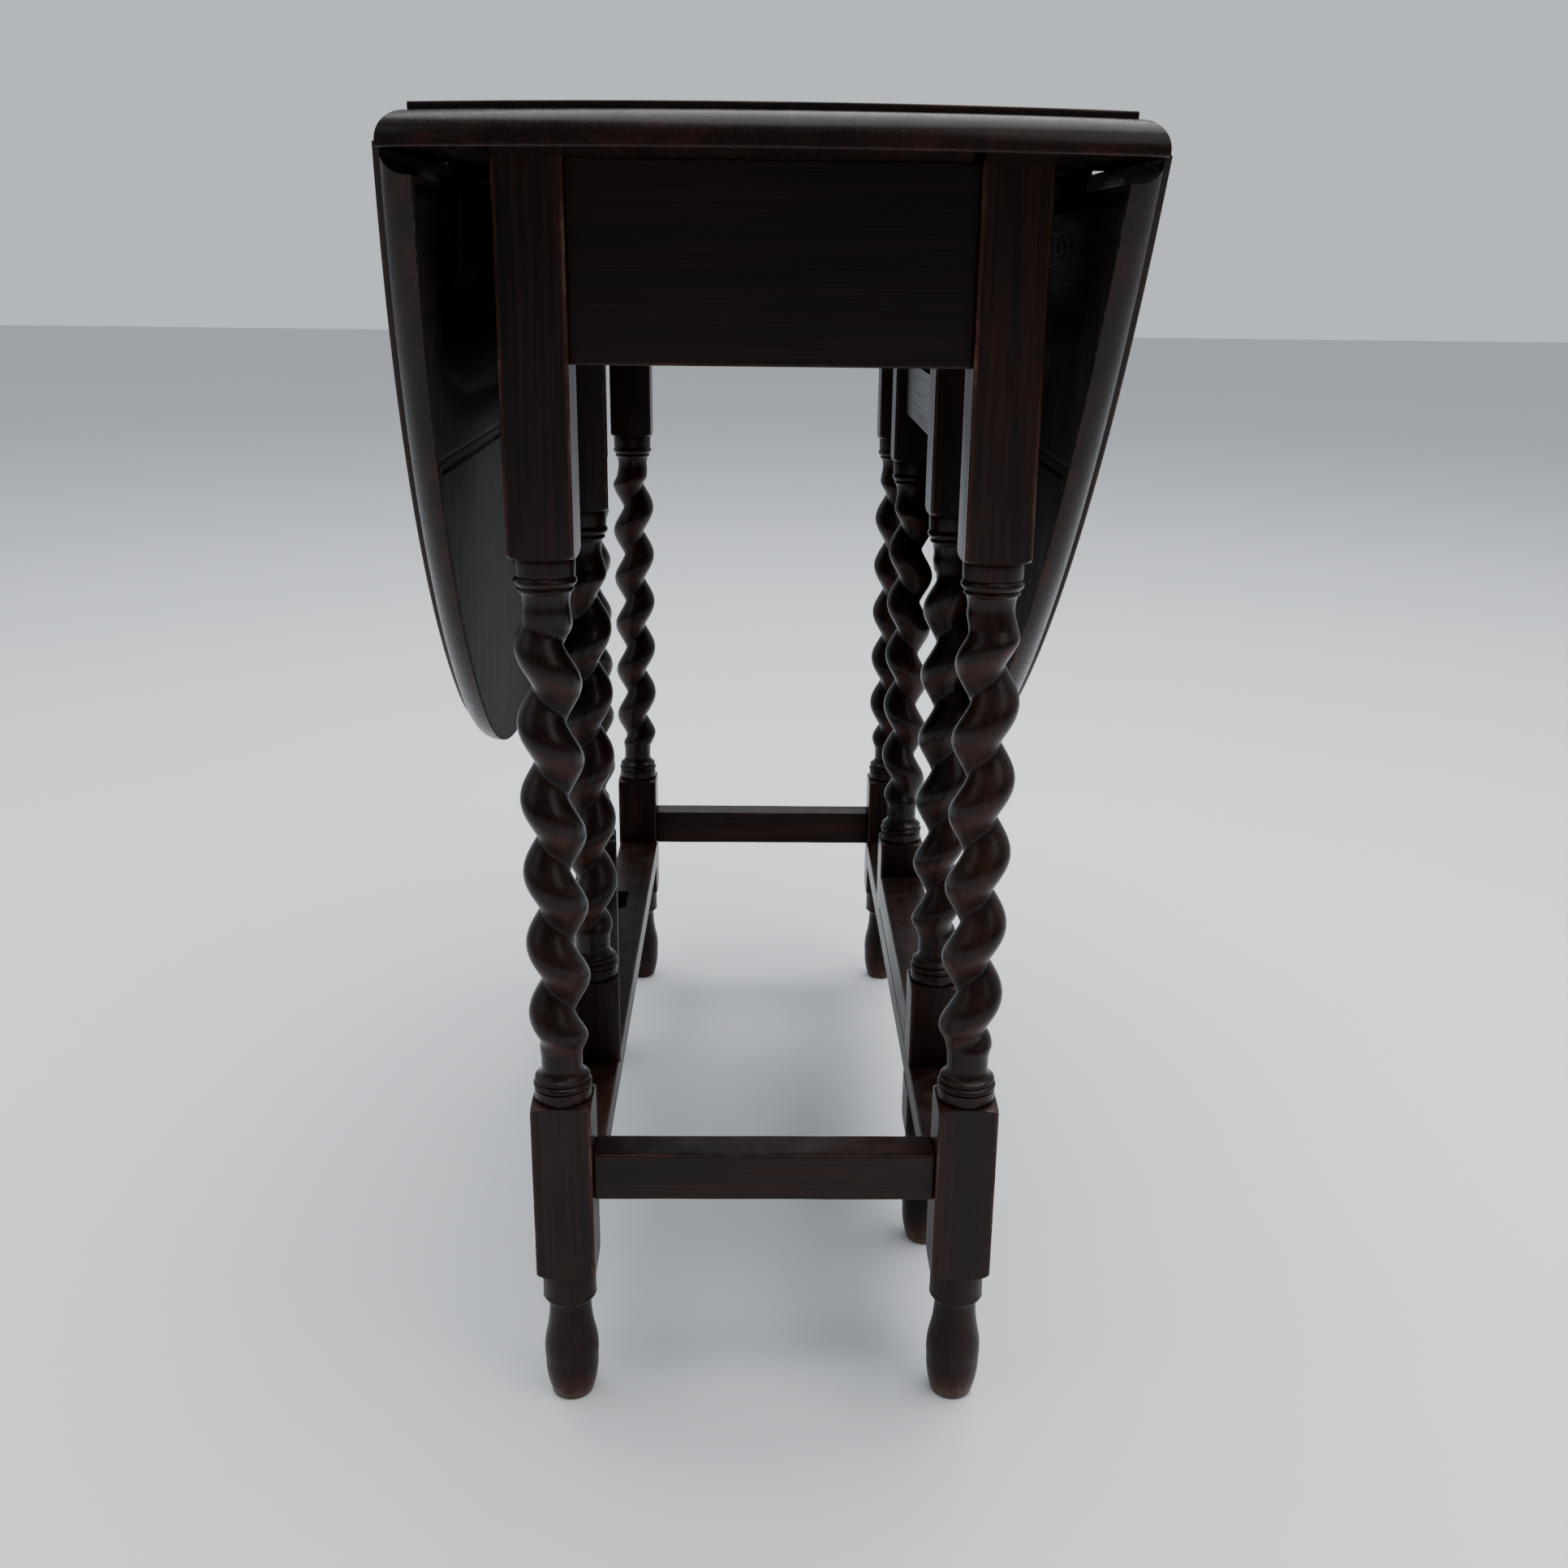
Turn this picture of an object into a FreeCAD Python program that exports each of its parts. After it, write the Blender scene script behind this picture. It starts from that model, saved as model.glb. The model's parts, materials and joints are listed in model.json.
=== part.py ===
"""Gateleg table with an oval drop-leaf top and barley-twist legs.

X runs across the table, Y along its length, Z up. The origin is on the floor under the middle
of the table at rest. The leaves hang, the right one leaning in and the left one held out by its gate,
which stands ajar. The right gate is closed. Lengths are in millimetres and angles in degrees.
"""
import FreeCAD, Part
import math
import os
import re

from FreeCAD import Placement, Rotation, Vector

SIZES = {
    # top
    "table_height": 736, "top_thickness": 20, "top_length": 800, "open_width": 1086,
    "end_radius": 250,
    "centre_width": 356, "left_board_width": 108, "right_board_width": 92,
    "edge_fillet": 3.5, "pin_above_underside": 3, "rule_clearance": 0.8, "lip_gap": 0.5,
    "leaf_board_width": 149, "left_leaf_tilt": 3, "right_leaf_tilt": -3.4,
    # legs and their square blocks
    "leg_square": 35, "leg_inset": 60, "leg_overhang": 94.5,
    "lower_block_bottom": 90.5, "lower_block_top": 204.5, "upper_block_length": 194,
    "shoulder_cut": 2.5, "shoulder_height": 5,
    # turned foot
    "toe_diameter": 25, "belly_diameter": 33, "belly_height": 29.5,
    "ankle_diameter": 26, "ankle_height": 64, "ring_diameter": 32, "ring_bottom": 69,
    # turned collars and coves next to the blocks
    "collar_diameter": 32.5, "collar_height": 8, "bead_diameter": 34, "bead_height": 7,
    "waist_diameter": 24.5, "lower_cove_height": 19, "upper_cove_height": 12,
    # barley twist
    "twist_diameter": 26, "twist_offset": 4.9, "twist_pitch": 43,
    # aprons and stretchers
    "apron_depth": 96.5, "apron_thickness": 22, "apron_recess": 5.5,
    "end_stretcher_bottom": 141.5, "end_stretcher_depth": 30, "end_stretcher_thickness": 23,
    "side_stretcher_bottom": 125.5, "side_stretcher_depth": 19.5, "side_stretcher_width": 35,
    "tenon_thickness": 9, "tenon_gap": 1.5, "tenon_shoulder": 4,
    # gates
    "gate_inset": 1, "pivot_y": 137, "gate_leg_y": 141.5, "gate_top_gap": 1,
    "left_gate_swing": 5.2, "right_gate_swing": 0,
    "top_rail_gap": 19.5, "top_rail_depth": 40, "rail_thickness": 20,
    "low_rail_gap": 2, "low_rail_depth": 28.5,
    "pivot_radius": 7, "pivot_length": 14, "pivot_clearance": 0.08, "pivot_end_gap": 1,
    "post_gap": 0.5, "lap_gap": 0.3, "notch_clearance": 1.5,
    # hinges under the rule joints
    "hinge_y": 225, "hinge_length": 60, "hinge_thickness": 2.5, "knuckle_radius": 3,
    "knuckle_gap": 0.3, "knuckle_room": 0.5, "hinge_pin_radius": 1.3, "hinge_pin_clearance": 0.05,
    "frame_plate_width": 33, "leaf_plate_width": 58,
    # screws and glue blocks
    "screw_radius": 1.8, "screw_head_radius": 3.4, "screw_head_height": 1.8, "screw_length": 13,
    "slot_width": 0.8, "slot_depth": 0.6, "hinge_screw_spacing": 20,
    "glue_block_side": 22, "glue_block_gap": 16.5, "glue_block_middle": 20,
    "fixing_screw_length": 34,
}
KNUCKLES = 5
SIDES = {"left": -1, "right": 1}
ENDS = {"front": -1, "back": 1}
# Twist direction seen along each post: +1 rises as a right-handed screw, -1 as a left-handed one.
HANDS = {"leg_front_left": -1, "leg_front_right": 1, "leg_back_left": 1, "leg_back_right": -1,
         "gate_left_pivot_post": 1, "gate_right_pivot_post": -1,
         "gate_left_leg": -1, "gate_right_leg": 1}

doc = FreeCAD.newDocument("gateleg_table")
sheet = doc.addObject("Spreadsheet::Sheet", "Sizes")
for row, (alias, number) in enumerate(SIZES.items(), start=1):
    sheet.set(f"A{row}", alias)
    sheet.set(f"B{row}", str(number))
    sheet.setAlias(f"B{row}", alias)
doc.recompute()
size = {alias: float(sheet.get(alias)) for alias in SIZES}
subparts = []

# Sizes that follow from the driving ones, as text for expressions.
UNDERSIDE = "(table_height - top_thickness)"
OVOLO = "(top_thickness - edge_fillet - pin_above_underside)"
PIN_X = f"(centre_width / 2 - {OVOLO})"
PIN_Z = f"({UNDERSIDE} + pin_above_underside)"
APRON_BOTTOM = f"({UNDERSIDE} - apron_depth)"
STRETCHER_TOP = "(side_stretcher_bottom + side_stretcher_depth)"
LOW_RAIL_BOTTOM = f"({STRETCHER_TOP} + low_rail_gap)"
LEG_X = "(centre_width / 2 - leg_inset)"
LEG_Y = "(top_length / 2 - leg_overhang)"
LEG_INSIDE_X = f"({LEG_X} - leg_square / 2)"
LEG_INSIDE_Y = f"({LEG_Y} - leg_square / 2)"
END_APRON_Y = f"({LEG_Y} + leg_square / 2 - apron_recess - apron_thickness / 2)"
TENON_LENGTH = "(leg_square / 2 - tenon_thickness / 2 - tenon_gap)"
GATE_X = f"({LEG_X} - gate_inset)"
TOP_RAIL_BOTTOM = f"({APRON_BOTTOM} - top_rail_gap - top_rail_depth)"
GLUE_BLOCK_LENGTH = f"({LEG_INSIDE_X} - glue_block_gap - glue_block_middle)"
GLUE_BLOCK_X = f"(glue_block_middle + {GLUE_BLOCK_LENGTH} / 2)"

# The same, as numbers for the shapes that are made by code.
underside = size["table_height"] - size["top_thickness"]
pin_z = underside + size["pin_above_underside"]
ovolo = size["top_thickness"] - size["edge_fillet"] - size["pin_above_underside"]
pin_x = size["centre_width"] / 2 - ovolo


def bound(expression):
    """An expression in which each word that names a cell, and no function, points at the sheet."""
    return re.sub(r"\b[a-z]\w*\b(?!\()", lambda word: "Sizes." + word.group(), expression)


def add(kind, name, **values):
    """A document object whose properties are bound to expressions."""
    item = doc.addObject(kind, name)
    for key, expression in values.items():
        item.setExpression(key.replace("_at_", "Placement.Base."), bound(expression))
    return item


def box(name, span_x, span_y, span_z):
    """A box given by the low end and the length along each axis."""
    return add("Part::Box", name, Length=span_x[1], Width=span_y[1], Height=span_z[1],
               _at_x=span_x[0], _at_y=span_y[0], _at_z=span_z[0])


def centred(middle, length):
    """The span of a length centred on a place."""
    return (f"{middle} - ({length}) / 2", length)


def outward(side, start, length):
    """The span that starts at a distance from the middle and runs away from it."""
    return (start, length) if side > 0 else (f"-({start}) - ({length})", length)


def rod(name, radius, height, middle_x, middle_y, low_z):
    """An upright cylinder."""
    return add("Part::Cylinder", name, Radius=radius, Height=height,
               _at_x=middle_x, _at_y=middle_y, _at_z=low_z)


def lying_rod(name, radius, middle_x, span_y, middle_z):
    """A cylinder that lies along Y."""
    item = add("Part::Cylinder", name, Radius=radius, Height=span_y[1],
               _at_x=middle_x, _at_y=span_y[0], _at_z=middle_z)
    item.Placement.Rotation = Rotation(Vector(1, 0, 0), -90)
    return item


def fuse(name, items):
    """One solid of several."""
    joined = doc.addObject("Part::MultiFuse", name)
    joined.Shapes = items
    return joined


def cut(name, base, tools):
    """A solid with others taken out of it."""
    result = doc.addObject("Part::Cut", name)
    result.Base = base
    result.Tool = tools[0] if len(tools) == 1 else fuse(name + "_tools", tools)
    return result


def overlap(name, first, second):
    """What two solids share."""
    result = doc.addObject("Part::Common", name)
    result.Base, result.Tool = first, second
    return result


def from_shape(name, shape):
    """A solid that code has shaped."""
    item = doc.addObject("Part::Feature", name)
    item.Shape = shape
    return item


def subpart(node, item):
    """Name a finished piece after its node."""
    item.Label = node
    subparts.append(item)
    return item


def hang(item, side):
    """Turn a piece that is built on a raised leaf down about the hinge line."""
    tilt = "left_leaf_tilt" if side < 0 else "right_leaf_tilt"
    item.Placement.Rotation = Rotation(Vector(0, side, 0), 90)
    item.setExpression("Placement.Rotation.Angle", bound(f"90 - {tilt}"))
    item.setExpression("Placement.Base.x", bound(
        f"{side} * (({PIN_X}) - ({PIN_X}) * sin({tilt}) - ({PIN_Z}) * cos({tilt}))"))
    item.setExpression("Placement.Base.z", bound(
        f"({PIN_Z}) + ({PIN_X}) * cos({tilt}) - ({PIN_Z}) * sin({tilt})"))
    return item


def swing(item, side):
    """Turn a piece of a gate, which is built closed, to where the gate stands."""
    turn = "left_gate_swing" if side < 0 else "right_gate_swing"
    item.Placement.Rotation = Rotation(Vector(0, 0, 1), 1)
    item.setExpression("Placement.Rotation.Angle", bound(turn))
    item.setExpression("Placement.Base.x", bound(
        f"{side} * (({GATE_X}) - ({GATE_X}) * cos({turn}) + pivot_y * sin({turn}))"))
    item.setExpression("Placement.Base.y", bound(
        f"{side} * (pivot_y - ({GATE_X}) * sin({turn}) - pivot_y * cos({turn}))"))
    return item


# ---------------------------------------------------------------- turned and twisted posts

def outline(start, steps):
    """Edges from a start (radius, height) through lines, and arcs given by their middle too."""
    here = Vector(start[0], 0, start[1])
    edges = []
    for step in steps:
        there = Vector(step[-2], 0, step[-1])
        if len(step) == 4:
            edges.append(Part.Arc(here, Vector(step[0], 0, step[1]), there).toShape())
        else:
            edges.append(Part.makeLine(here, there))
        here = there
    return edges


def turned(start, steps):
    """A solid of revolution about Z. The outline starts and ends on the axis."""
    edges = outline(start, steps)
    edges.append(Part.makeLine(edges[-1].lastVertex().Point, Vector(start[0], 0, start[1])))
    face = Part.Face(Part.Wire(Part.__sortEdges__(edges)))
    return face.revolve(Vector(0, 0, 0), Vector(0, 0, 1), 360)


def foot():
    """Pear-shaped foot under a ring, up to the lower block."""
    toe, belly = size["toe_diameter"] / 2, size["belly_diameter"] / 2
    ankle, ring = size["ankle_diameter"] / 2, size["ring_diameter"] / 2
    belly_z, ankle_z = size["belly_height"], size["ankle_height"]
    ring_z, top = size["ring_bottom"], size["lower_block_bottom"]
    return turned((0, 0), [(toe, 0), (toe * 0.32 + belly * 0.68, belly_z * 0.42, belly, belly_z),
                           (belly * 0.66 + ankle * 0.34, (belly_z + ankle_z) / 2, ankle, ankle_z),
                           (ring, ring_z), (ring, top), (0, top)])


def collars(block_z, direction, cove_height):
    """Collar, bead and cove that leave a block at block_z, upwards for +1 and downwards for -1."""
    collar, bead, waist = (size[key + "_diameter"] / 2 for key in ("collar", "bead", "waist"))
    heights = [0]
    for step in (size["collar_height"], size["bead_height"], cove_height):
        heights.append(heights[-1] + step)
    z_block, z_collar, z_bead, z_cove = (block_z + direction * height for height in heights)
    quirk = bead - 2
    return turned((0, z_block), [(collar, z_block), (collar, z_collar), (quirk, z_collar),
                                 (bead, (z_collar + z_bead) / 2, quirk, z_bead),
                                 (waist, (z_bead * 2 + z_cove) / 3, waist, z_cove), (0, z_cove)])


def twist(low, high, hand):
    """A horizontal circle off the axis, carried up a helix without being turned."""
    offset, radius = size["twist_offset"], size["twist_diameter"] / 2
    helix = Part.makeHelix(size["twist_pitch"], high - low, offset, 0, hand < 0)
    circle = Part.Wire(Part.Circle(Vector(offset, 0, 0), Vector(0, 0, 1), radius).toShape())
    pipe = Part.BRepOffsetAPI.MakePipeShell(Part.Wire(helix))
    pipe.setTrihedronMode(Vector(0, 0, 0), Vector(0, 0, 1))
    pipe.add(circle)
    pipe.build()
    pipe.makeSolid()
    solid = pipe.shape()
    expected = math.pi * radius ** 2 * (high - low)
    if abs(solid.Volume - expected) > expected / 100:
        raise RuntimeError("a twist does not have its section's volume")
    solid.translate(Vector(0, 0, low))
    return solid


def block(low, high, soft_low, soft_high):
    """Square block whose corners are rounded off where the turning meets it."""
    half = size["leg_square"] / 2
    corner, shoulder = half * 1.5, half + size["shoulder_cut"]
    low_r, high_r = (shoulder if soft else corner for soft in (soft_low, soft_high))
    rise = size["shoulder_height"]
    square = Part.makeBox(2 * half, 2 * half, high - low, Vector(-half, -half, low))
    envelope = turned((0, low), [(low_r, low), (corner, low + rise), (corner, high - rise),
                                 (high_r, high), (0, high)])
    return square.common(envelope)


def post(node, bottom, top):
    """The turned blank of a leg or a pivot post, before its mortises, about its own axis."""
    block_low, block_high = size["lower_block_top"], underside - size["upper_block_length"]
    lower = size["collar_height"] + size["bead_height"] + size["lower_cove_height"]
    upper = size["collar_height"] + size["bead_height"] + size["upper_cove_height"]
    stands = bottom == 0
    pieces = [block(size["lower_block_bottom"] if stands else bottom, block_low, stands, True),
              collars(block_low, 1, size["lower_cove_height"]),
              twist(block_low + lower - 4, block_high - upper + 4, HANDS[node]),
              collars(block_high, -1, size["upper_cove_height"]),
              block(block_high, top, True, False)]
    if stands:
        pieces.append(foot())
    return from_shape(node + "_blank", pieces[0].multiFuse(pieces[1:]).removeSplitter())


def placed(item, x, y):
    """Stand a post at its place on the plan."""
    item.setExpression("Placement.Base.x", bound(x))
    item.setExpression("Placement.Base.y", bound(y))
    return item


# ------------------------------------------------------------------------------- the top

def rule_section(side):
    """Half of the centre's section at a rule joint, from its top arris to its underside."""
    middle, radius = Vector(side * pin_x, 0, pin_z), ovolo
    lean = radius * math.sqrt(0.5)
    arris = Vector(side * pin_x, 0, size["table_height"])
    quirk = middle + Vector(0, 0, radius)
    nose = middle + Vector(side * radius, 0, 0)
    heel = Vector(nose.x, 0, underside)
    curve = Part.Arc(quirk, middle + Vector(side * lean, 0, lean), nose).toShape()
    return [Part.makeLine(arris, quirk), curve, Part.makeLine(nose, heel)], arris, heel


def lengthwise(edges):
    """Run a closed section in the XZ plane along the table's length."""
    length = size["top_length"]
    face = Part.Face(Part.Wire(Part.__sortEdges__(edges)))
    face.translate(Vector(0, -length / 2, 0))
    return face.extrude(Vector(0, length, 0))


def oval_sector(centre_x, centre_y, radius, middle_angle, half_angle):
    """A sector of the top about one of the oval's centres, with its moulded edge."""
    inner, lean = radius - ovolo, ovolo * math.sqrt(0.5)
    quirk_z, top_z = pin_z + ovolo, size["table_height"]
    edges = outline((0, underside), [(radius, underside), (radius, pin_z),
                                     (inner + lean, pin_z + lean, inner, quirk_z),
                                     (inner, top_z), (0, top_z)])
    edges.append(Part.makeLine(Vector(0, 0, top_z), Vector(0, 0, underside)))
    sector = Part.Face(Part.Wire(edges)).revolve(Vector(0, 0, 0), Vector(0, 0, 1), 2 * half_angle)
    turn = Rotation(Vector(0, 0, 1), middle_angle - half_angle)
    sector.Placement = Placement(Vector(centre_x, centre_y, 0), turn)
    return sector


def oval():
    """The whole open top: an oval set out from four centres, moulded round its edge."""
    half_x, half_y, end_radius = size["open_width"] / 2, size["top_length"] / 2, size["end_radius"]
    end_centre, fall = half_x - end_radius, half_y - end_radius
    side_centre = (end_centre ** 2 - fall ** 2) / (2 * fall)
    side_radius = half_y + side_centre
    lean = math.degrees(math.atan2(end_centre, side_centre))
    sectors = []
    for sign in (1, -1):
        turn = 0 if sign > 0 else 180
        sectors.append(oval_sector(sign * end_centre, 0, end_radius, turn, 90 - lean))
        sectors.append(oval_sector(0, -sign * side_centre, side_radius, turn + 90, lean))
    return sectors[0].multiFuse(sectors[1:]).removeSplitter()


def centre_slab():
    """The fixed middle of the top, with a rule joint down each long side."""
    right, right_arris, right_heel = rule_section(1)
    left, left_arris, left_heel = rule_section(-1)
    edges = right + left + [Part.makeLine(left_arris, right_arris),
                            Part.makeLine(left_heel, right_heel)]
    return lengthwise(edges)


def leaf_slab(side):
    """A raised leaf's half plane, coved to clear the centre's ovolo."""
    middle = Vector(side * pin_x, 0, pin_z)
    radius = ovolo + size["rule_clearance"]
    gap = size["lip_gap"]
    low, high = -size["pin_above_underside"], size["table_height"] - pin_z
    far = size["open_width"]
    lean = radius * math.sqrt(0.5)
    nose, heel = Vector(side * radius, 0, 0), Vector(side * radius, 0, low)
    tip = Vector(side * gap, 0, math.sqrt(radius ** 2 - gap ** 2))
    corners = [tip, Vector(side * gap, 0, high), Vector(side * far, 0, high),
               Vector(side * far, 0, low), heel, nose]
    edges = [Part.makeLine(middle + first, middle + second)
             for first, second in zip(corners, corners[1:])]
    edges.append(Part.Arc(middle + nose, middle + Vector(side * lean, 0, lean),
                          middle + tip).toShape())
    return lengthwise(edges)


# ------------------------------------------------------------------------ screws and hinges

def screw(name, x, y, low, length):
    """A countersunk wood screw that points up, and the plain solid that makes its hole."""
    head = add("Part::Cone", name + "_head", Radius1="screw_head_radius", Radius2="screw_radius",
               Height="screw_head_height", _at_x=x, _at_y=y, _at_z=low)
    shank = rod(name + "_shank", "screw_radius", length, x, y, low)
    plain = fuse(name + "_plain", [head, shank])
    slot = box(name + "_slot", centred(x, "slot_width"), centred(y, "4 * screw_head_radius"),
               (low, "slot_depth"))
    return cut(name, plain, [slot]), plain


def hinge(side_name, end_name):
    """A backflap hinge: its frame plate, leaf plate, pin, screws and the room it needs."""
    side, end = SIDES[side_name], ENDS[end_name]
    name = f"hinge_{side_name}_{end_name}"
    pin = f"{side} * {PIN_X}"
    middle_y = f"{end} * hinge_y"
    segment = f"hinge_length / {KNUCKLES}"
    plate_z = (UNDERSIDE, "hinge_thickness")
    reach = "(knuckle_radius + knuckle_room)"
    whole = centred(middle_y, "hinge_length")

    def plate(node, direction, width, knuckles):
        start = f"{side} * {PIN_X} + {direction} * {reach}"
        flap_x = (start, f"{width} - {reach}")
        if direction < 0:
            flap_x = (f"{start} - ({width} - {reach})", flap_x[1])
        pieces = [box(node + "_flap", flap_x, whole, plate_z)]
        for index in knuckles:
            span = (f"{middle_y} - hinge_length / 2 + {index} * {segment} + knuckle_gap / 2",
                    f"{segment} - knuckle_gap")
            web_x = (pin, reach) if direction > 0 else (f"{pin} - {reach}", reach)
            pieces.append(box(f"{node}_web_{index}", web_x, span, plate_z))
            pieces.append(lying_rod(f"{node}_knuckle_{index}", "knuckle_radius", pin, span, PIN_Z))
        return fuse(node + "_solid", pieces), flap_x

    def row_of_screws(node, direction, width):
        middle_x = f"{side} * {PIN_X} + {direction} * ({width} * 0.7)"
        pairs = [screw(f"{node}_screw_{index + 1}", middle_x,
                       f"{middle_y} + {index} * hinge_screw_spacing", UNDERSIDE, "screw_length")
                 for index in (-1, 0, 1)]
        return [pair[0] for pair in pairs], [pair[1] for pair in pairs]

    frame_solid, _ = plate(name + "_frame_plate", -side, "frame_plate_width",
                           range(0, KNUCKLES, 2))
    leaf_solid, leaf_x = plate(name + "_leaf_plate", side, "leaf_plate_width",
                               range(1, KNUCKLES, 2))
    frame_screws, frame_holes = row_of_screws(name + "_frame", -side, "frame_plate_width")
    leaf_screws, leaf_holes = row_of_screws(name + "_leaf", side, "leaf_plate_width")

    snug = lying_rod(name + "_snug_bore", "hinge_pin_radius", pin, whole, PIN_Z)
    loose = lying_rod(name + "_loose_bore", "hinge_pin_radius + hinge_pin_clearance", pin, whole,
                      PIN_Z)
    subpart(name + "_frame_plate",
            cut(name + "_frame_plate_cut", frame_solid, frame_holes + [snug]))
    leaf_plate = cut(name + "_leaf_plate_cut", leaf_solid, leaf_holes + [loose])
    subpart(name + "_leaf_plate", hang(leaf_plate, side))
    subpart(name + "_pin", lying_rod(name + "_pin_rod", "hinge_pin_radius", pin, whole, PIN_Z))

    room_y = centred(middle_y, "hinge_length + 2 * knuckle_gap")
    frame_room = [
        box(name + "_groove", centred(pin, f"2 * {reach}"), room_y,
            (UNDERSIDE, f"pin_above_underside + {reach}")),
        box(name + "_frame_recess", outward(side, f"{PIN_X} - frame_plate_width",
                                            "frame_plate_width"), whole, plate_z),
        box(name + "_leaf_path", outward(side, PIN_X, f"{OVOLO} + lip_gap"), room_y,
            (UNDERSIDE, "pin_above_underside + lip_gap"))] + frame_holes
    leaf_room = [box(name + "_leaf_recess", leaf_x, whole, plate_z)] + leaf_holes
    return frame_room, leaf_room, frame_screws, leaf_screws


def top():
    """Centre boards, leaves, hinges and their screws."""
    whole = from_shape("oval_slab", oval())
    centre = overlap("centre_blank", whole, from_shape("centre_section", centre_slab()))
    frame_room, frame_screws = [], []
    for side_name, side in SIDES.items():
        leaf_room, leaf_screws = [], []
        for end_name in ENDS:
            room, leaf_cuts, screws, more = hinge(side_name, end_name)
            frame_room += room
            leaf_room += leaf_cuts
            frame_screws += screws
            leaf_screws += more
        leaf(side_name, side, whole, leaf_room, leaf_screws)
    fixing_screws, fixing_holes = glue_blocks()
    centre = cut("centre_cut", centre, frame_room + fixing_holes)
    half = "centre_width / 2"
    spans = {"left": (f"-{half}", "left_board_width"),
             "middle": (f"left_board_width - {half}",
                        "centre_width - left_board_width - right_board_width"),
             "right": (f"{half} - right_board_width", "right_board_width")}
    for place, span in spans.items():
        slice_box = box(f"top_{place}_slice", span, centred("0", "top_length"),
                        (UNDERSIDE, "top_thickness"))
        subpart(f"top_board_{place}", overlap(f"top_{place}", centre, slice_box))
    group("hinge_frame_screws", frame_screws)
    group("top_fixing_screws", fixing_screws)


def leaf(side_name, side, whole, room, screws):
    """One leaf, glued from two boards."""
    name = f"leaf_{side_name}"
    blank = overlap(name + "_blank", whole, from_shape(name + "_section", leaf_slab(side)))
    bored = cut(name + "_bored", blank, room)
    spans = {"inner": (PIN_X, "leaf_board_width"),
             "outer": (f"{PIN_X} + leaf_board_width", f"open_width / 2 - {PIN_X}")}
    for place, (start, length) in spans.items():
        slice_box = box(f"{name}_{place}_slice", outward(side, start, length),
                        centred("0", "top_length"), (UNDERSIDE, "top_thickness"))
        board = overlap(f"{name}_{place}", bored, slice_box)
        subpart(f"{name}_{place}_board", hang(board, side))
    hang(group(f"{name}_screws", screws), side)


def group(node, items):
    """Like fasteners as one node of separate solids."""
    compound = doc.addObject("Part::Compound", node + "_group")
    compound.Links = items
    return subpart(node, compound)


def glue_blocks():
    """Four blocks behind the end aprons, each with one screw up into the top."""
    screws, holes = [], []
    for end_name, end in ENDS.items():
        for side_name, side in SIDES.items():
            name = f"glue_block_{end_name}_{side_name}"
            start = f"{END_APRON_Y} - apron_thickness / 2 - glue_block_side"
            low = f"{UNDERSIDE} - glue_block_side"
            blank = box(name + "_blank", centred(f"{side} * {GLUE_BLOCK_X}", GLUE_BLOCK_LENGTH),
                        outward(end, start, "glue_block_side"), (low, "glue_block_side"))
            middle_y = f"{end} * ({start} + glue_block_side / 2)"
            made, plain = screw(name + "_screw", f"{side} * {GLUE_BLOCK_X}", middle_y, low,
                                "fixing_screw_length")
            subpart(name, cut(name + "_cut", blank, [plain]))
            screws.append(made)
            holes.append(plain)
    return screws, holes


# ------------------------------------------------------------------------ frame and gates

def tenon(name, span_x, span_y, span_z):
    """A tenon box, used both on its rail and to cut its mortise."""
    return box(name, span_x, span_y, span_z)


def with_shoulders(span):
    """A tenon's span within its rail's."""
    return (f"{span[0]} + tenon_shoulder", f"{span[1]} - 2 * tenon_shoulder")


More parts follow.
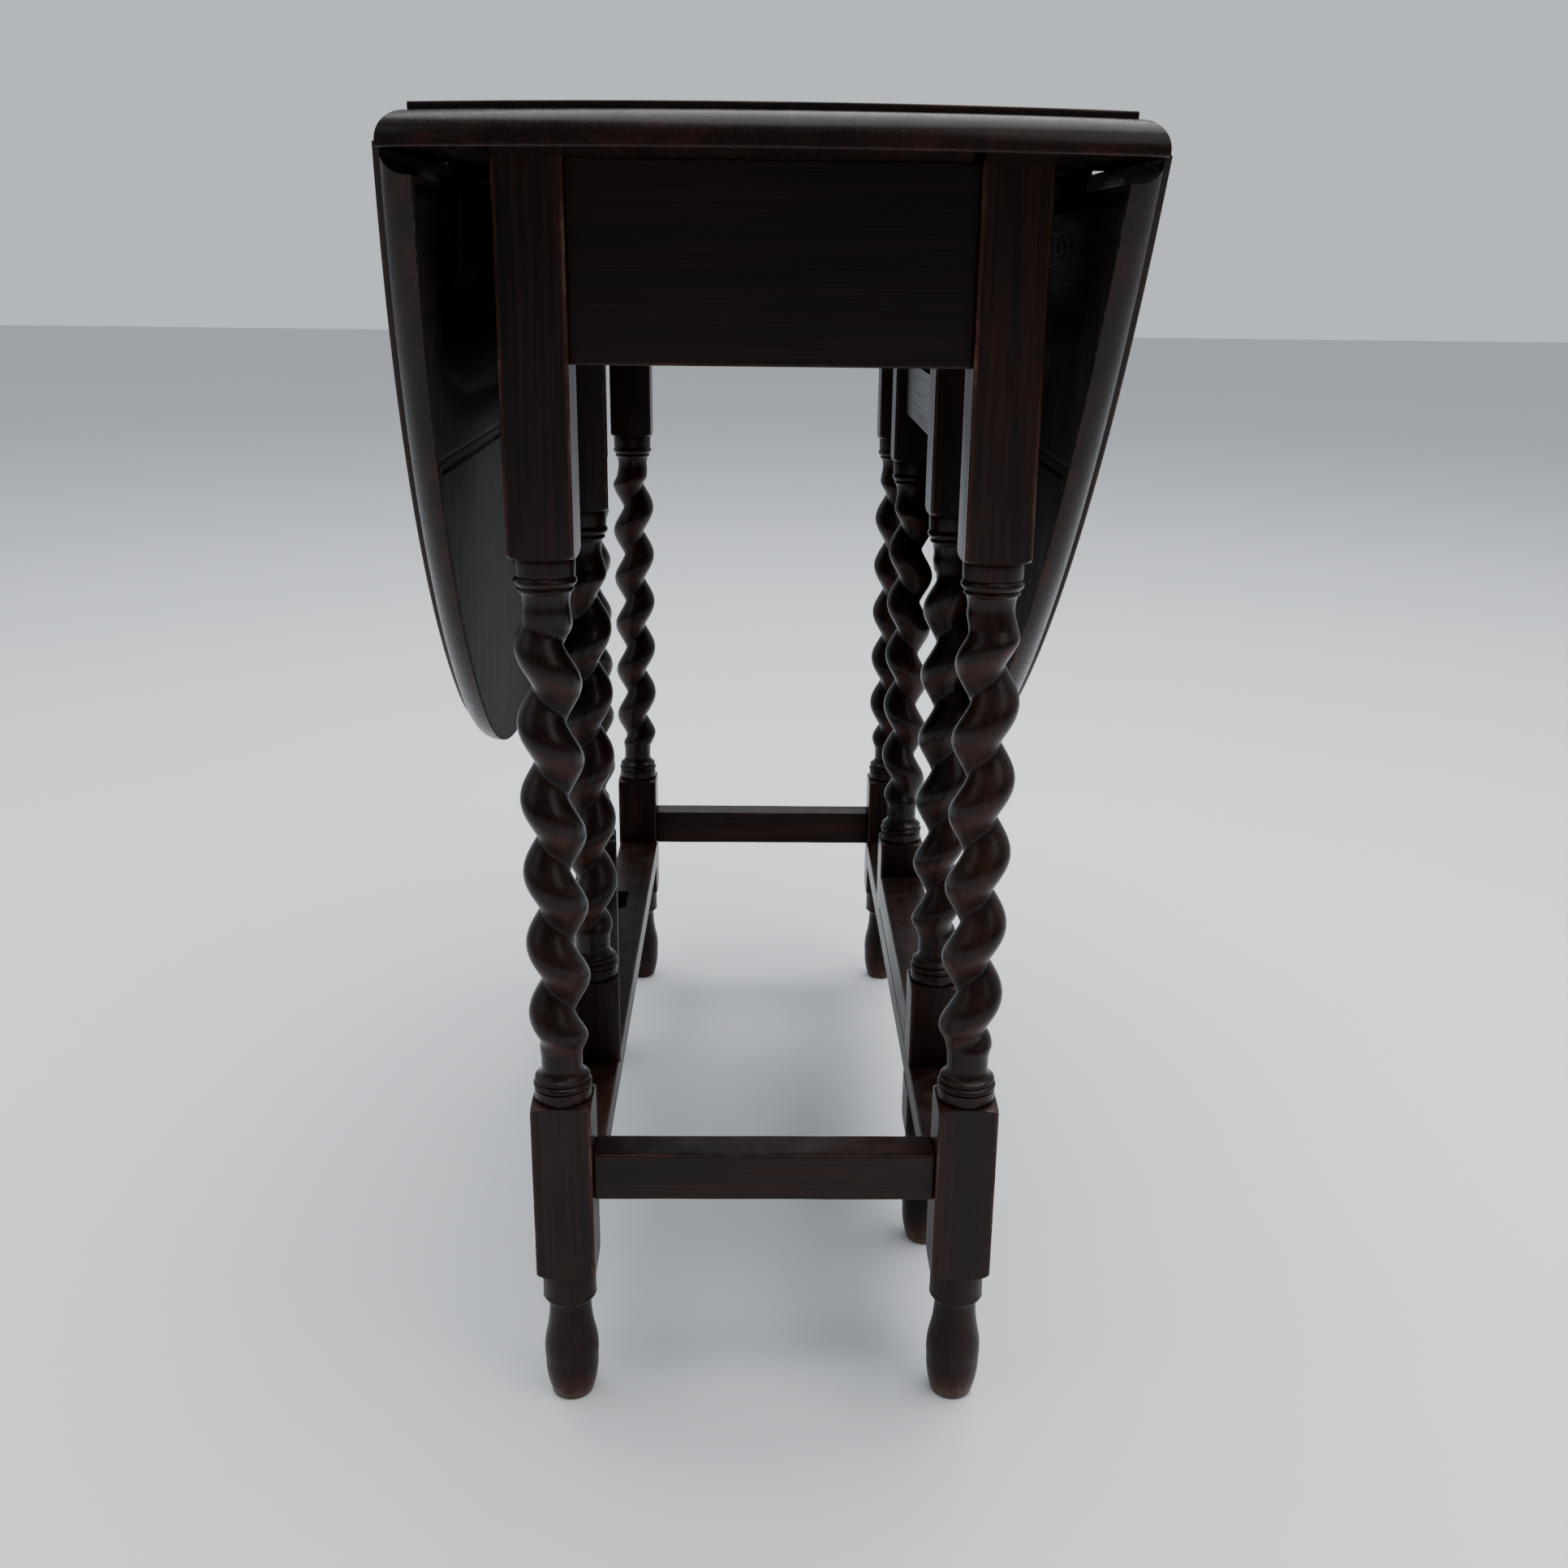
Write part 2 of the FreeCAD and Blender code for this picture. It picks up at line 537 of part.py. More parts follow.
def frame():
    """Four legs joined by aprons under the top and stretchers near the floor."""
    apron_z = (APRON_BOTTOM, "apron_depth")
    mortises = {(end, side): [] for end in ENDS for side in SIDES}

    for end_name, end in ENDS.items():
        rails = {
            "apron": (f"{end} * {END_APRON_Y}", "apron_thickness", apron_z),
            "stretcher": (f"{end} * {LEG_Y}", "end_stretcher_thickness",
                          ("end_stretcher_bottom", "end_stretcher_depth"))}
        for kind, (middle_y, thickness, span_z) in rails.items():
            name = f"{kind}_{end_name}"
            pieces = [box(name + "_rail", centred("0", f"2 * {LEG_INSIDE_X}"),
                          centred(middle_y, thickness), span_z)]
            for side_name, side in SIDES.items():
                ending = tenon(f"{name}_{side_name}_tenon",
                               outward(side, LEG_INSIDE_X, TENON_LENGTH),
                               centred(f"{end} * {LEG_Y}", "tenon_thickness"),
                               with_shoulders(span_z))
                pieces.append(ending)
                mortises[end_name, side_name].append(ending)
            subpart(name, fuse(name + "_fused", pieces))

    for side_name, side in SIDES.items():
        middle_x = f"{side} * {GATE_X}"
        stretcher_z = ("side_stretcher_bottom", "side_stretcher_depth")
        rails = {"apron": ("apron_thickness", "tenon_thickness", apron_z),
                 "stretcher": ("side_stretcher_width", "rail_thickness", stretcher_z)}
        leg_y = f"{-side} * gate_leg_y"
        for kind, (thickness, tongue, span_z) in rails.items():
            name = f"{kind}_{side_name}"
            pieces = [box(name + "_rail", centred(middle_x, thickness),
                          centred("0", f"2 * {LEG_INSIDE_Y}"), span_z)]
            for end_name, end in ENDS.items():
                ending = tenon(f"{name}_{end_name}_tenon", centred(middle_x, tongue),
                               outward(end, LEG_INSIDE_Y, TENON_LENGTH),
                               with_shoulders(span_z))
                pieces.append(ending)
                mortises[end_name, side_name].append(ending)
            notch = box(name + "_notch",
                        outward(side, f"{GATE_X} - lap_gap", f"{thickness}"),
                        centred(leg_y, "leg_square + 2 * notch_clearance"), span_z)
            bore_low = (f"{span_z[0]} + {span_z[1]} - pivot_length - pivot_end_gap"
                        if kind == "stretcher" else span_z[0])
            bore = rod(name + "_pivot_bore", "pivot_radius + pivot_clearance",
                       "pivot_length + pivot_end_gap", middle_x, f"{side} * pivot_y", bore_low)
            subpart(name, cut(name + "_cut", fuse(name + "_fused", pieces), [notch, bore]))

    for (end_name, side_name), tools in mortises.items():
        node = f"leg_{end_name}_{side_name}"
        blank = placed(post(node, 0, underside), f"{SIDES[side_name]} * {LEG_X}",
                       f"{ENDS[end_name]} * {LEG_Y}")
        subpart(node, cut(node + "_cut", blank, tools))


def gate(side_name, side):
    """A swinging gate: a pivot post, a leg halved over the frame, and two rails."""
    name = f"gate_{side_name}"
    middle_x = f"{side} * {GATE_X}"
    post_y, leg_y = f"{side} * pivot_y", f"{-side} * gate_leg_y"
    bottom = size["side_stretcher_bottom"] + size["side_stretcher_depth"] + size["post_gap"]
    top_end = underside - size["apron_depth"] - size["post_gap"]
    length = "pivot_y + gate_leg_y - leg_square"
    rails = {"top_rail": ("rail_thickness", (TOP_RAIL_BOTTOM, "top_rail_depth")),
             "low_rail": ("leg_square", (LOW_RAIL_BOTTOM, "low_rail_depth"))}
    mortises = {"pivot": [], "leg": []}
    low_y = f"{post_y} - {side} * leg_square / 2" if side < 0 else f"{leg_y} + leg_square / 2"
    for kind, (thickness, span_z) in rails.items():
        pieces = [box(f"{name}_{kind}_rail", centred(middle_x, thickness), (low_y, length), span_z)]
        tongues = {"low": (f"{low_y} - {TENON_LENGTH}", TENON_LENGTH),
                   "high": (f"{low_y} + {length}", TENON_LENGTH)}
        for place, span_y in tongues.items():
            ending = tenon(f"{name}_{kind}_{place}_tenon", centred(middle_x, "tenon_thickness"),
                           span_y, with_shoulders(span_z))
            pieces.append(ending)
            mortises["leg" if (place == "low") == (side > 0) else "pivot"].append(ending)
        subpart(f"{name}_{kind}", swing(fuse(f"{name}_{kind}_fused", pieces), side))

    node = f"{name}_pivot_post"
    blank = placed(post(node, bottom, top_end), middle_x, post_y)
    spigots = [rod(node + "_low_spigot", "pivot_radius", "pivot_length + post_gap", middle_x,
                   post_y, f"{STRETCHER_TOP} - pivot_length"),
               rod(node + "_top_spigot", "pivot_radius", "pivot_length + post_gap", middle_x,
                   post_y, f"{APRON_BOTTOM} - post_gap")]
    solid = cut(node + "_cut", blank, mortises["pivot"])
    subpart(node, swing(fuse(node + "_fused", [solid] + spigots), side))

    node = f"{name}_leg"
    blank = placed(post(node, 0, underside - size["gate_top_gap"]), middle_x, leg_y)
    inner_half = outward(side, f"{GATE_X} - leg_square", "leg_square + lap_gap")
    across = centred(leg_y, "2 * leg_square")
    laps = [box(node + "_apron_lap", inner_half, across,
                (f"{APRON_BOTTOM} - notch_clearance", "apron_depth + top_thickness")),
            box(node + "_stretcher_lap", inner_half, across,
                ("side_stretcher_bottom - notch_clearance",
                 "side_stretcher_depth + 2 * notch_clearance"))]
    subpart(node, swing(cut(node + "_cut", blank, laps + mortises["leg"]), side))


def rest_middle():
    """How far the resting table's middle lies to the right of its top's, as its leaves lean."""
    rise = size["top_thickness"] - size["pin_above_underside"]
    outer_rim = size["open_width"] / 2 - size["centre_width"] / 2
    left, right = math.radians(size["left_leaf_tilt"]), math.radians(size["right_leaf_tilt"])
    left_reach = outer_rim * math.sin(left) + rise * math.cos(left)
    right_reach = size["lip_gap"] * math.sin(right) + rise * math.cos(right)
    return (right_reach - left_reach) / 2


def check_and_write():
    """Stop on any failed object, then write one file for each sub-part."""
    doc.recompute()
    to_origin = Vector(-rest_middle(), 0, 0)
    for item in doc.Objects:
        if "Invalid" in item.State or "Error" in item.State:
            raise RuntimeError(f"{item.Label} did not compute: {item.State}")
    for item in subparts:
        if item.Shape.isNull() or not item.Shape.isValid() or not item.Shape.Solids:
            raise RuntimeError(f"{item.Label} is not a sound solid")
    os.makedirs("parts", exist_ok=True)
    for item in subparts:
        item.Shape.translated(to_origin).exportStep(f"parts/{item.Label}.step")
        print(item.Label, len(item.Shape.Solids), round(item.Shape.Volume / 1000, 2), "cm3")


top()
frame()
for side_label, side_sign in SIDES.items():
    gate(side_label, side_sign)
check_and_write()
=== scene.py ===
"""Looks for a gateleg table: turned posts, moulded boards, rails, ironwork, floor, light, camera."""

import json
import math

import bmesh
import bpy
import numpy as np
from bpy.props import FloatProperty, FloatVectorProperty, IntProperty, PointerProperty
from mathutils import Matrix, Vector, noise


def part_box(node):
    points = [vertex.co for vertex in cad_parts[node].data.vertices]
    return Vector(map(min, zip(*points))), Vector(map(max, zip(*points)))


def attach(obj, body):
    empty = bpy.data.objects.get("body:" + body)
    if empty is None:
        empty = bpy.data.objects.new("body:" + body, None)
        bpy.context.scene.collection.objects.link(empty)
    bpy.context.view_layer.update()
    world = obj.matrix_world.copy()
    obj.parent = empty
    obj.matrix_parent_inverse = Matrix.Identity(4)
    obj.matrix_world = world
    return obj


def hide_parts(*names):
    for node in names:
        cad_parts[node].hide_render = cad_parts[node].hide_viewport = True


bl_info = {
    "name": "Gateleg Table",
    "version": (1, 0, 0),
    "blender": (4, 5, 0),
    "location": "View3D > Sidebar > Table",
    "description": "Builds the boards, turned posts, ironwork and stage of a gateleg table",
    "category": "Object",
}

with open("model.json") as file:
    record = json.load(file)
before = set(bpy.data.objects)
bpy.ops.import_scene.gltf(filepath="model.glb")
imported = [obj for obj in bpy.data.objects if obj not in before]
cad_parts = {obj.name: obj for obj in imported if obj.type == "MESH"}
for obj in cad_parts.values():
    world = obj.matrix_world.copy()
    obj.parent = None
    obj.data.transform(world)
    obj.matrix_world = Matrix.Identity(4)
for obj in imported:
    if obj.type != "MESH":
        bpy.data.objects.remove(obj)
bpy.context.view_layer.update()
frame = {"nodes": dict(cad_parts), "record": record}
MM = 0.001
FRAME_PLATE, LEAF_PLATE = 33 * MM, 58 * MM
SIDES = {"left": -1, "right": 1}
ENDS = {"front": -1, "back": 1}
# Each post's twist: +1 climbs as a right-handed screw and -1 as a left-handed one, then the
# height in millimetres at which the strand faces the side given by the last number, +X or -X.
TWISTS = {
    "leg_front_left": (-1, 389.0, -1),
    "leg_front_right": (1, 359.0, 1),
    "leg_back_left": (1, 372.0, 1),
    "leg_back_right": (-1, 364.0, -1),
    "gate_left_pivot_post": (1, 360.0, 1),
    "gate_right_pivot_post": (-1, 364.5, -1),
    "gate_left_leg": (-1, 353.0, 1),
    "gate_right_leg": (1, 332.5, -1),
}
# The top's middle plane: every piece is made about it, then moved to the frame's own place.
MIDDLE = Vector(((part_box("top_board_left")[0].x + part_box("top_board_right")[1].x) / 2, 0, 0))
BODY_OF = {node: body for body, nodes in frame["record"]["behaviour"]["bodies"].items()
           for node in nodes}
SLOT_OF = {part["node"]: part["material_slot"] for part in frame["record"]["subparts"]}


def box(node):
    """A node's lowest and highest corners, measured from the middle of the top."""
    low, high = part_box(node)
    return low - MIDDLE, high - MIDDLE


def length(name, description, default):
    """A size in metres that a user may change."""
    return FloatProperty(name=name, description=description, default=default, unit="LENGTH",
                         subtype="DISTANCE", precision=4)


def angle(name, description, degrees):
    """An angle that a user may change."""
    return FloatProperty(name=name, description=description, default=math.radians(degrees),
                         unit="ROTATION", subtype="ANGLE")


def amount(name, description, default, low=0.0, high=1.0):
    """A plain number that a user may change."""
    return FloatProperty(name=name, description=description, default=default, min=low, max=high)


def colour(name, description, default):
    """A linear colour that a user may change."""
    return FloatVectorProperty(name=name, description=description, default=default, size=3,
                               min=0.0, max=1.0, subtype="COLOR")


class PostShape(bpy.types.PropertyGroup):
    """Sizes of the turned posts."""
    square: length("Square", "Width of the square blocks", 35 * MM)
    low_block_bottom: length("Low block bottom", "Where the low block starts", 90.5 * MM)
    low_block_top: length("Low block top", "Where the low block ends", 204.5 * MM)
    high_block_bottom: length("High block bottom", "Where the high block starts", 522 * MM)
    ridge: length("Twist ridge", "Distance of the strand's crest from the axis", 17.9 * MM)
    valley: length("Twist valley", "Distance of the hollow from the axis", 8.3 * MM)
    pitch: length("Twist pitch", "Rise of the strand in one turn", 43 * MM)
    roundness: amount("Twist roundness", "0 gives an even wave, 1 a full strand and sharp valley",
                      0.5)
    arris: length("Arris", "Worn radius of a block's corners", 1.3 * MM)


class TopShape(bpy.types.PropertyGroup):
    """Sizes of the oval top and its moulded edge."""
    open_width: length("Open width", "Width with both leaves up", 1086 * MM)
    end_radius: length("End radius", "Radius of the oval's two tighter arcs", 250 * MM)
    fillet: length("Fillet", "Step above the ovolo", 3.5 * MM)
    pin_rise: length("Pin rise", "Hinge line above the underside", 3 * MM)
    clearance: length("Rule clearance", "Gap between the cove and the ovolo", 0.8 * MM)
    lip_gap: length("Lip gap", "Gap between a raised leaf and the centre", 0.5 * MM)
    inner_board: length("Inner board", "Width of a leaf's board next to the hinge", 149 * MM)
    left_tilt: angle("Left tilt", "How far the left leaf hangs outwards", 3.0)
    right_tilt: angle("Right tilt", "How far the right leaf hangs outwards", -3.4)
    arris: length("Arris", "Worn radius of the boards' edges", 0.9 * MM)


class GateShape(bpy.types.PropertyGroup):
    """Sizes of the gates, and how far they stand open."""
    across: length("Across", "Distance of a closed gate from the middle", 117 * MM)
    pivot_y: length("Pivot", "Distance of a pivot from the middle, along the table", 137 * MM)
    leg_y: length("Leg", "Distance of a closed gate's leg from the middle", 141.5 * MM)
    rail: length("Rail", "Thickness of the top rail", 20 * MM)
    left_swing: angle("Left swing", "How far the left gate stands open", 5.2)
    right_swing: angle("Right swing", "How far the right gate stands open", 0.0)


class Finish(bpy.types.PropertyGroup):
    """Colours and wear of the table."""
    stain: colour("Stain", "Deep tone of the stained oak", (0.0036, 0.0023, 0.0022))
    red: colour("Red brown", "Tone where the stain is thin", (0.046, 0.0120, 0.0058))
    bare: colour("Bare oak", "Tone where handling has worn the stain", (0.15, 0.092, 0.064))
    back: colour("Leaf back", "Tone of the unpolished faces", (0.014, 0.0095, 0.0075))
    dust: colour("Dust", "Tone of dust and dried wax", (0.34, 0.31, 0.28))
    iron: colour("Iron", "Hinges", (0.030, 0.027, 0.025))
    steel: colour("Steel", "Screws", (0.30, 0.28, 0.26))
    polish: amount("Polish", "Weight of the wax coat", 0.12)


class StageShape(bpy.types.PropertyGroup):
    """Camera, lights and floor."""
    lens: FloatProperty(name="Lens", description="Focal length in millimetres", default=36.67)
    eye: FloatVectorProperty(name="Eye", description="Camera position", size=3,
                             default=(-0.0066, -1.139, 0.6697), subtype="TRANSLATION")
    pitch: FloatProperty(name="Pitch", description="How far the camera looks down",
                         default=0.3162, subtype="ANGLE")
    yaw: FloatProperty(name="Yaw", description="How far the camera looks to the right",
                       default=0.0187, subtype="ANGLE")
    roll: FloatProperty(name="Roll", description="Tilt of the camera", default=0.0120,
                        subtype="ANGLE")
    floor_size: length("Floor", "Side of the square floor", 30.0)
    floor_tone: colour("Floor tone", "Colour of the floor", (0.86, 0.88, 0.90))
    sky_tone: colour("Sky tone", "Colour of the surrounding light", (0.86, 0.92, 1.0))
    sky_front: amount("Sky in front", "Strength of the light on the viewer's side", 0.19, 0.0, 10.0)
    sky_power: amount("Sky power", "Strength of the surrounding light", 0.75, 0.0, 10.0)
    seed: IntProperty(name="Seed", description="Seed of the small irregularities", default=7)


# ------------------------------------------------------------------------------ node helpers

class Tree:
    """Adds nodes to a tree and links them, each in one call."""

    def __init__(self, tree):
        self.tree = tree

    def node(self, kind, inputs=(), **settings):
        """A node with its settings, and with a link or a value for each named input."""
        made = self.tree.nodes.new(kind)
        for key, value in settings.items():
            setattr(made, key, value)
        for socket, value in dict(inputs).items():
            self.feed(made.inputs[socket], value)
        return made

    def feed(self, socket, value):
        """Link an output to a socket, or set the socket's value."""
        if isinstance(value, bpy.types.NodeSocket):
            self.tree.links.new(value, socket)
        else:
            socket.default_value = value

    def maths(self, operation, *values, clamp=False):
        """One Math node."""
        made = self.tree.nodes.new("ShaderNodeMath")
        made.operation, made.use_clamp = operation, clamp
        for socket, value in zip(made.inputs, values):
            self.feed(socket, value)
        return made.outputs[0]

    def mix(self, factor, first, second, blend="MIX"):
        """A colour mix."""
        made = self.node("ShaderNodeMix", data_type="RGBA", blend_type=blend)
        self.feed(made.inputs["Factor"], factor)
        self.feed(made.inputs[6], first)
        self.feed(made.inputs[7], second)
        return made.outputs[2]

    def blend(self, factor, first, second):
        """A number mix."""
        made = self.node("ShaderNodeMix", data_type="FLOAT")
        for index, value in ((0, factor), (2, first), (3, second)):
            self.feed(made.inputs[index], value)
        return made.outputs[0]

    def ramp(self, value, low, high, start=0.0, end=1.0):
        """Map a value from low..high to start..end, smoothly and clamped."""
        return self.node("ShaderNodeMapRange", {"Value": value, "From Min": low, "From Max": high,
                                                "To Min": start, "To Max": end},
                         interpolation_type="SMOOTHSTEP").outputs[0]

    def noise(self, vector, scale, detail=3.0, roughness=0.55, distortion=0.0):
        """A noise texture's value."""
        return self.node("ShaderNodeTexNoise", {"Vector": vector, "Scale": scale, "Detail": detail,
                                                "Roughness": roughness,
                                                "Distortion": distortion}).outputs["Fac"]

    def stretched(self, vector, scale, turn=(0.0, 0.0, 0.0), place=(0.0, 0.0, 0.0)):
        """A vector through a Mapping node."""
        return self.node("ShaderNodeMapping", {"Vector": vector, "Scale": scale, "Rotation": turn,
                                               "Location": place}).outputs[0]


def new_group(name, kind, inputs, outputs):
    """An empty node group with its sockets. Returns the tree, its inputs' outputs and its end."""
    group = bpy.data.node_groups.new(name, kind)
    for label, socket, default in inputs:
        made = group.interface.new_socket(label, in_out="INPUT", socket_type=socket)
        if default is not None:
            made.default_value = default
    for label, socket in outputs:
        group.interface.new_socket(label, in_out="OUTPUT", socket_type=socket)
    start, end = group.nodes.new("NodeGroupInput"), group.nodes.new("NodeGroupOutput")
    return Tree(group), {item.name: item for item in start.outputs if item.name}, end, group


# ------------------------------------------------------------------------------ shader groups

NUMBER, VECTOR, COLOUR = "NodeSocketFloat", "NodeSocketVector", "NodeSocketColor"


def grain_group():
    """Oak with its grain along Z: slow figure, fine streaks, open pores, and their height."""
    tree, put, end, group = new_group(
        "Oak Grain", "ShaderNodeTree",
        [("Vector", VECTOR, None), ("Figure Size", NUMBER, 1.0), ("Pore Depth", NUMBER, 1.0)],
        [("Figure", NUMBER), ("Streak", NUMBER), ("Pores", NUMBER), ("Layers", NUMBER),
         ("Height", NUMBER)])
    place = tree.node("ShaderNodeVectorMath", {0: put["Vector"]}, operation="SCALE")
    tree.feed(place.inputs["Scale"], put["Figure Size"])
    warp = tree.node("ShaderNodeTexNoise", {"Vector": tree.stretched(place.outputs[0],
                                                                     (9.0, 9.0, 2.2)),
                                            "Scale": 1.0, "Detail": 1.0}).outputs["Color"]
    bend = tree.node("ShaderNodeVectorMath", {0: warp, 1: (0.5, 0.5, 0.5)}, operation="SUBTRACT")
    bend = tree.node("ShaderNodeVectorMath", {0: bend.outputs[0], 1: (0.010, 0.010, 0.0)},
                     operation="MULTIPLY")
    grain = tree.node("ShaderNodeVectorMath", {0: place.outputs[0], 1: bend.outputs[0]},
                      operation="ADD").outputs[0]
    figure = tree.noise(tree.stretched(grain, (42.0, 42.0, 3.0)), 1.0, 4.0, 0.6, 0.4)
    rings = tree.node("ShaderNodeTexWave", {"Vector": tree.stretched(grain, (1.0, 1.0, 0.05)),
                                            "Scale": 26.0, "Distortion": 5.0, "Detail": 3.0,
                                            "Detail Scale": 2.0, "Detail Roughness": 0.6},
                      wave_type="BANDS", bands_direction="DIAGONAL").outputs["Fac"]
    figure = tree.blend(0.35, tree.ramp(figure, 0.3, 0.72), rings)
    layers = tree.node("ShaderNodeTexWave", {"Vector": tree.stretched(grain, (1.0, 1.0, 0.12)),
                                              "Scale": 150.0, "Distortion": 3.0, "Detail": 2.0,
                                              "Detail Scale": 0.8, "Detail Roughness": 0.5},
                       wave_type="RINGS", rings_direction="Z").outputs["Fac"]
    streak = tree.noise(tree.stretched(grain, (520.0, 520.0, 9.0)), 1.0, 3.0, 0.65)
    streak = tree.ramp(streak, 0.33, 0.70)
    pores = tree.noise(tree.stretched(grain, (1500.0, 1500.0, 42.0)), 1.0, 1.0, 0.5)
    porous = tree.noise(tree.stretched(grain, (110.0, 110.0, 4.0)), 1.0, 2.0, 0.5)
    pores = tree.maths("MULTIPLY", tree.ramp(pores, 0.60, 0.72), tree.ramp(porous, 0.38, 0.62))
    height = tree.maths("MULTIPLY_ADD", layers, 0.22, tree.maths("MULTIPLY", streak, 0.25))
    height = tree.maths("SUBTRACT", height, tree.maths("MULTIPLY", pores, put["Pore Depth"]))
    for label, value in (("Figure", figure), ("Streak", streak), ("Pores", pores),
                         ("Layers", layers), ("Height", height)):
        tree.feed(end.inputs[label], value)
    return group


def wear_group():
    """Where handling thins the stain: broken up along edges and crests that carry a mark. On the
    twisted posts the mark also holds painted light, the warm tone painted on each strand's downward
    flank.
    """
    tree, put, end, group = new_group(
        "Edge Wear And Underlight", "ShaderNodeTree",
        [("Vector", VECTOR, None), ("Mark", NUMBER, 0.0), ("Amount", NUMBER, 0.5)],
        [("Thin", NUMBER), ("Bare", NUMBER)])
    patches = tree.noise(tree.stretched(put["Vector"], (28.0, 28.0, 16.0)), 1.0, 5.0, 0.62)
    nicks = tree.noise(tree.stretched(put["Vector"], (260.0, 260.0, 120.0)), 1.0, 3.0, 0.6)
    level = tree.maths("MULTIPLY", put["Mark"], put["Amount"])
    rough = tree.maths("ADD", tree.maths("MULTIPLY", patches, 0.75),
                       tree.maths("MULTIPLY", nicks, 0.35))
    thin = tree.ramp(tree.maths("ADD", level, rough), 0.86, 1.16)
    bare = tree.ramp(tree.maths("ADD", level, rough), 1.12, 1.38)
    tree.feed(end.inputs["Thin"], thin)
    tree.feed(end.inputs["Bare"], bare)
    return group


def dust_group():
    """Dust and dried wax that settle on what faces up, in uneven patches."""
    tree, put, end, group = new_group(
        "Dust", "ShaderNodeTree",
        [("Vector", VECTOR, None), ("Amount", NUMBER, 0.3)], [("Mask", NUMBER)])
    normal = tree.node("ShaderNodeNewGeometry").outputs["Normal"]
    up = tree.node("ShaderNodeSeparateXYZ", {0: normal}).outputs["Z"]
    patches = tree.noise(tree.stretched(put["Vector"], (60.0, 60.0, 60.0)), 1.0, 5.0, 0.65)
    facing = tree.ramp(up, 0.25, 0.95)
    mask = tree.maths("MULTIPLY", facing, tree.ramp(patches, 0.38, 0.75))
    tree.feed(end.inputs["Mask"], tree.maths("MULTIPLY", mask, put["Amount"]))
    return group


def scratch_group():
    """Plane tracks and scratches that lie aslant across an unpolished face."""
    tree, put, end, group = new_group(
        "Scratches", "ShaderNodeTree", [("Vector", VECTOR, None)], [("Mask", NUMBER)])
    tracks = tree.noise(tree.stretched(put["Vector"], (9.0, 420.0, 12.0), (0.75, 0.0, 0.0)), 1.0,
                        2.0, 0.5)
    cuts = tree.noise(tree.stretched(put["Vector"], (14.0, 900.0, 22.0), (-0.55, 0.0, 0.0)), 1.0,
                      1.0, 0.5)
    mask = tree.maths("MAXIMUM", tree.maths("MULTIPLY", tree.ramp(tracks, 0.52, 0.72), 0.6),
                      tree.ramp(cuts, 0.66, 0.74))
    tree.feed(end.inputs["Mask"], mask)
    return group


GROUPS = {}
GRAIN_TURNS = {"X": (0.0, -math.pi / 2, 0.0), "Y": (math.pi / 2, 0.0, 0.0), "Z": (0.0, 0.0, 0.0)}


def shared(name):
    """A shader group that is built on first use."""
    builders = {"grain": grain_group, "wear": wear_group, "dust": dust_group,
                "scratch": scratch_group}
    if name not in GROUPS:
        GROUPS[name] = builders[name]()
    return GROUPS[name]


def principled(name):
    """A new material, its tree and its shader."""
    material = bpy.data.materials.new(name)
    material.use_nodes = True
    tree = Tree(material.node_tree)
    return material, tree, material.node_tree.nodes["Principled BSDF"]


def rgba(value):
    """A colour with full alpha."""
    return (*value, 1.0)


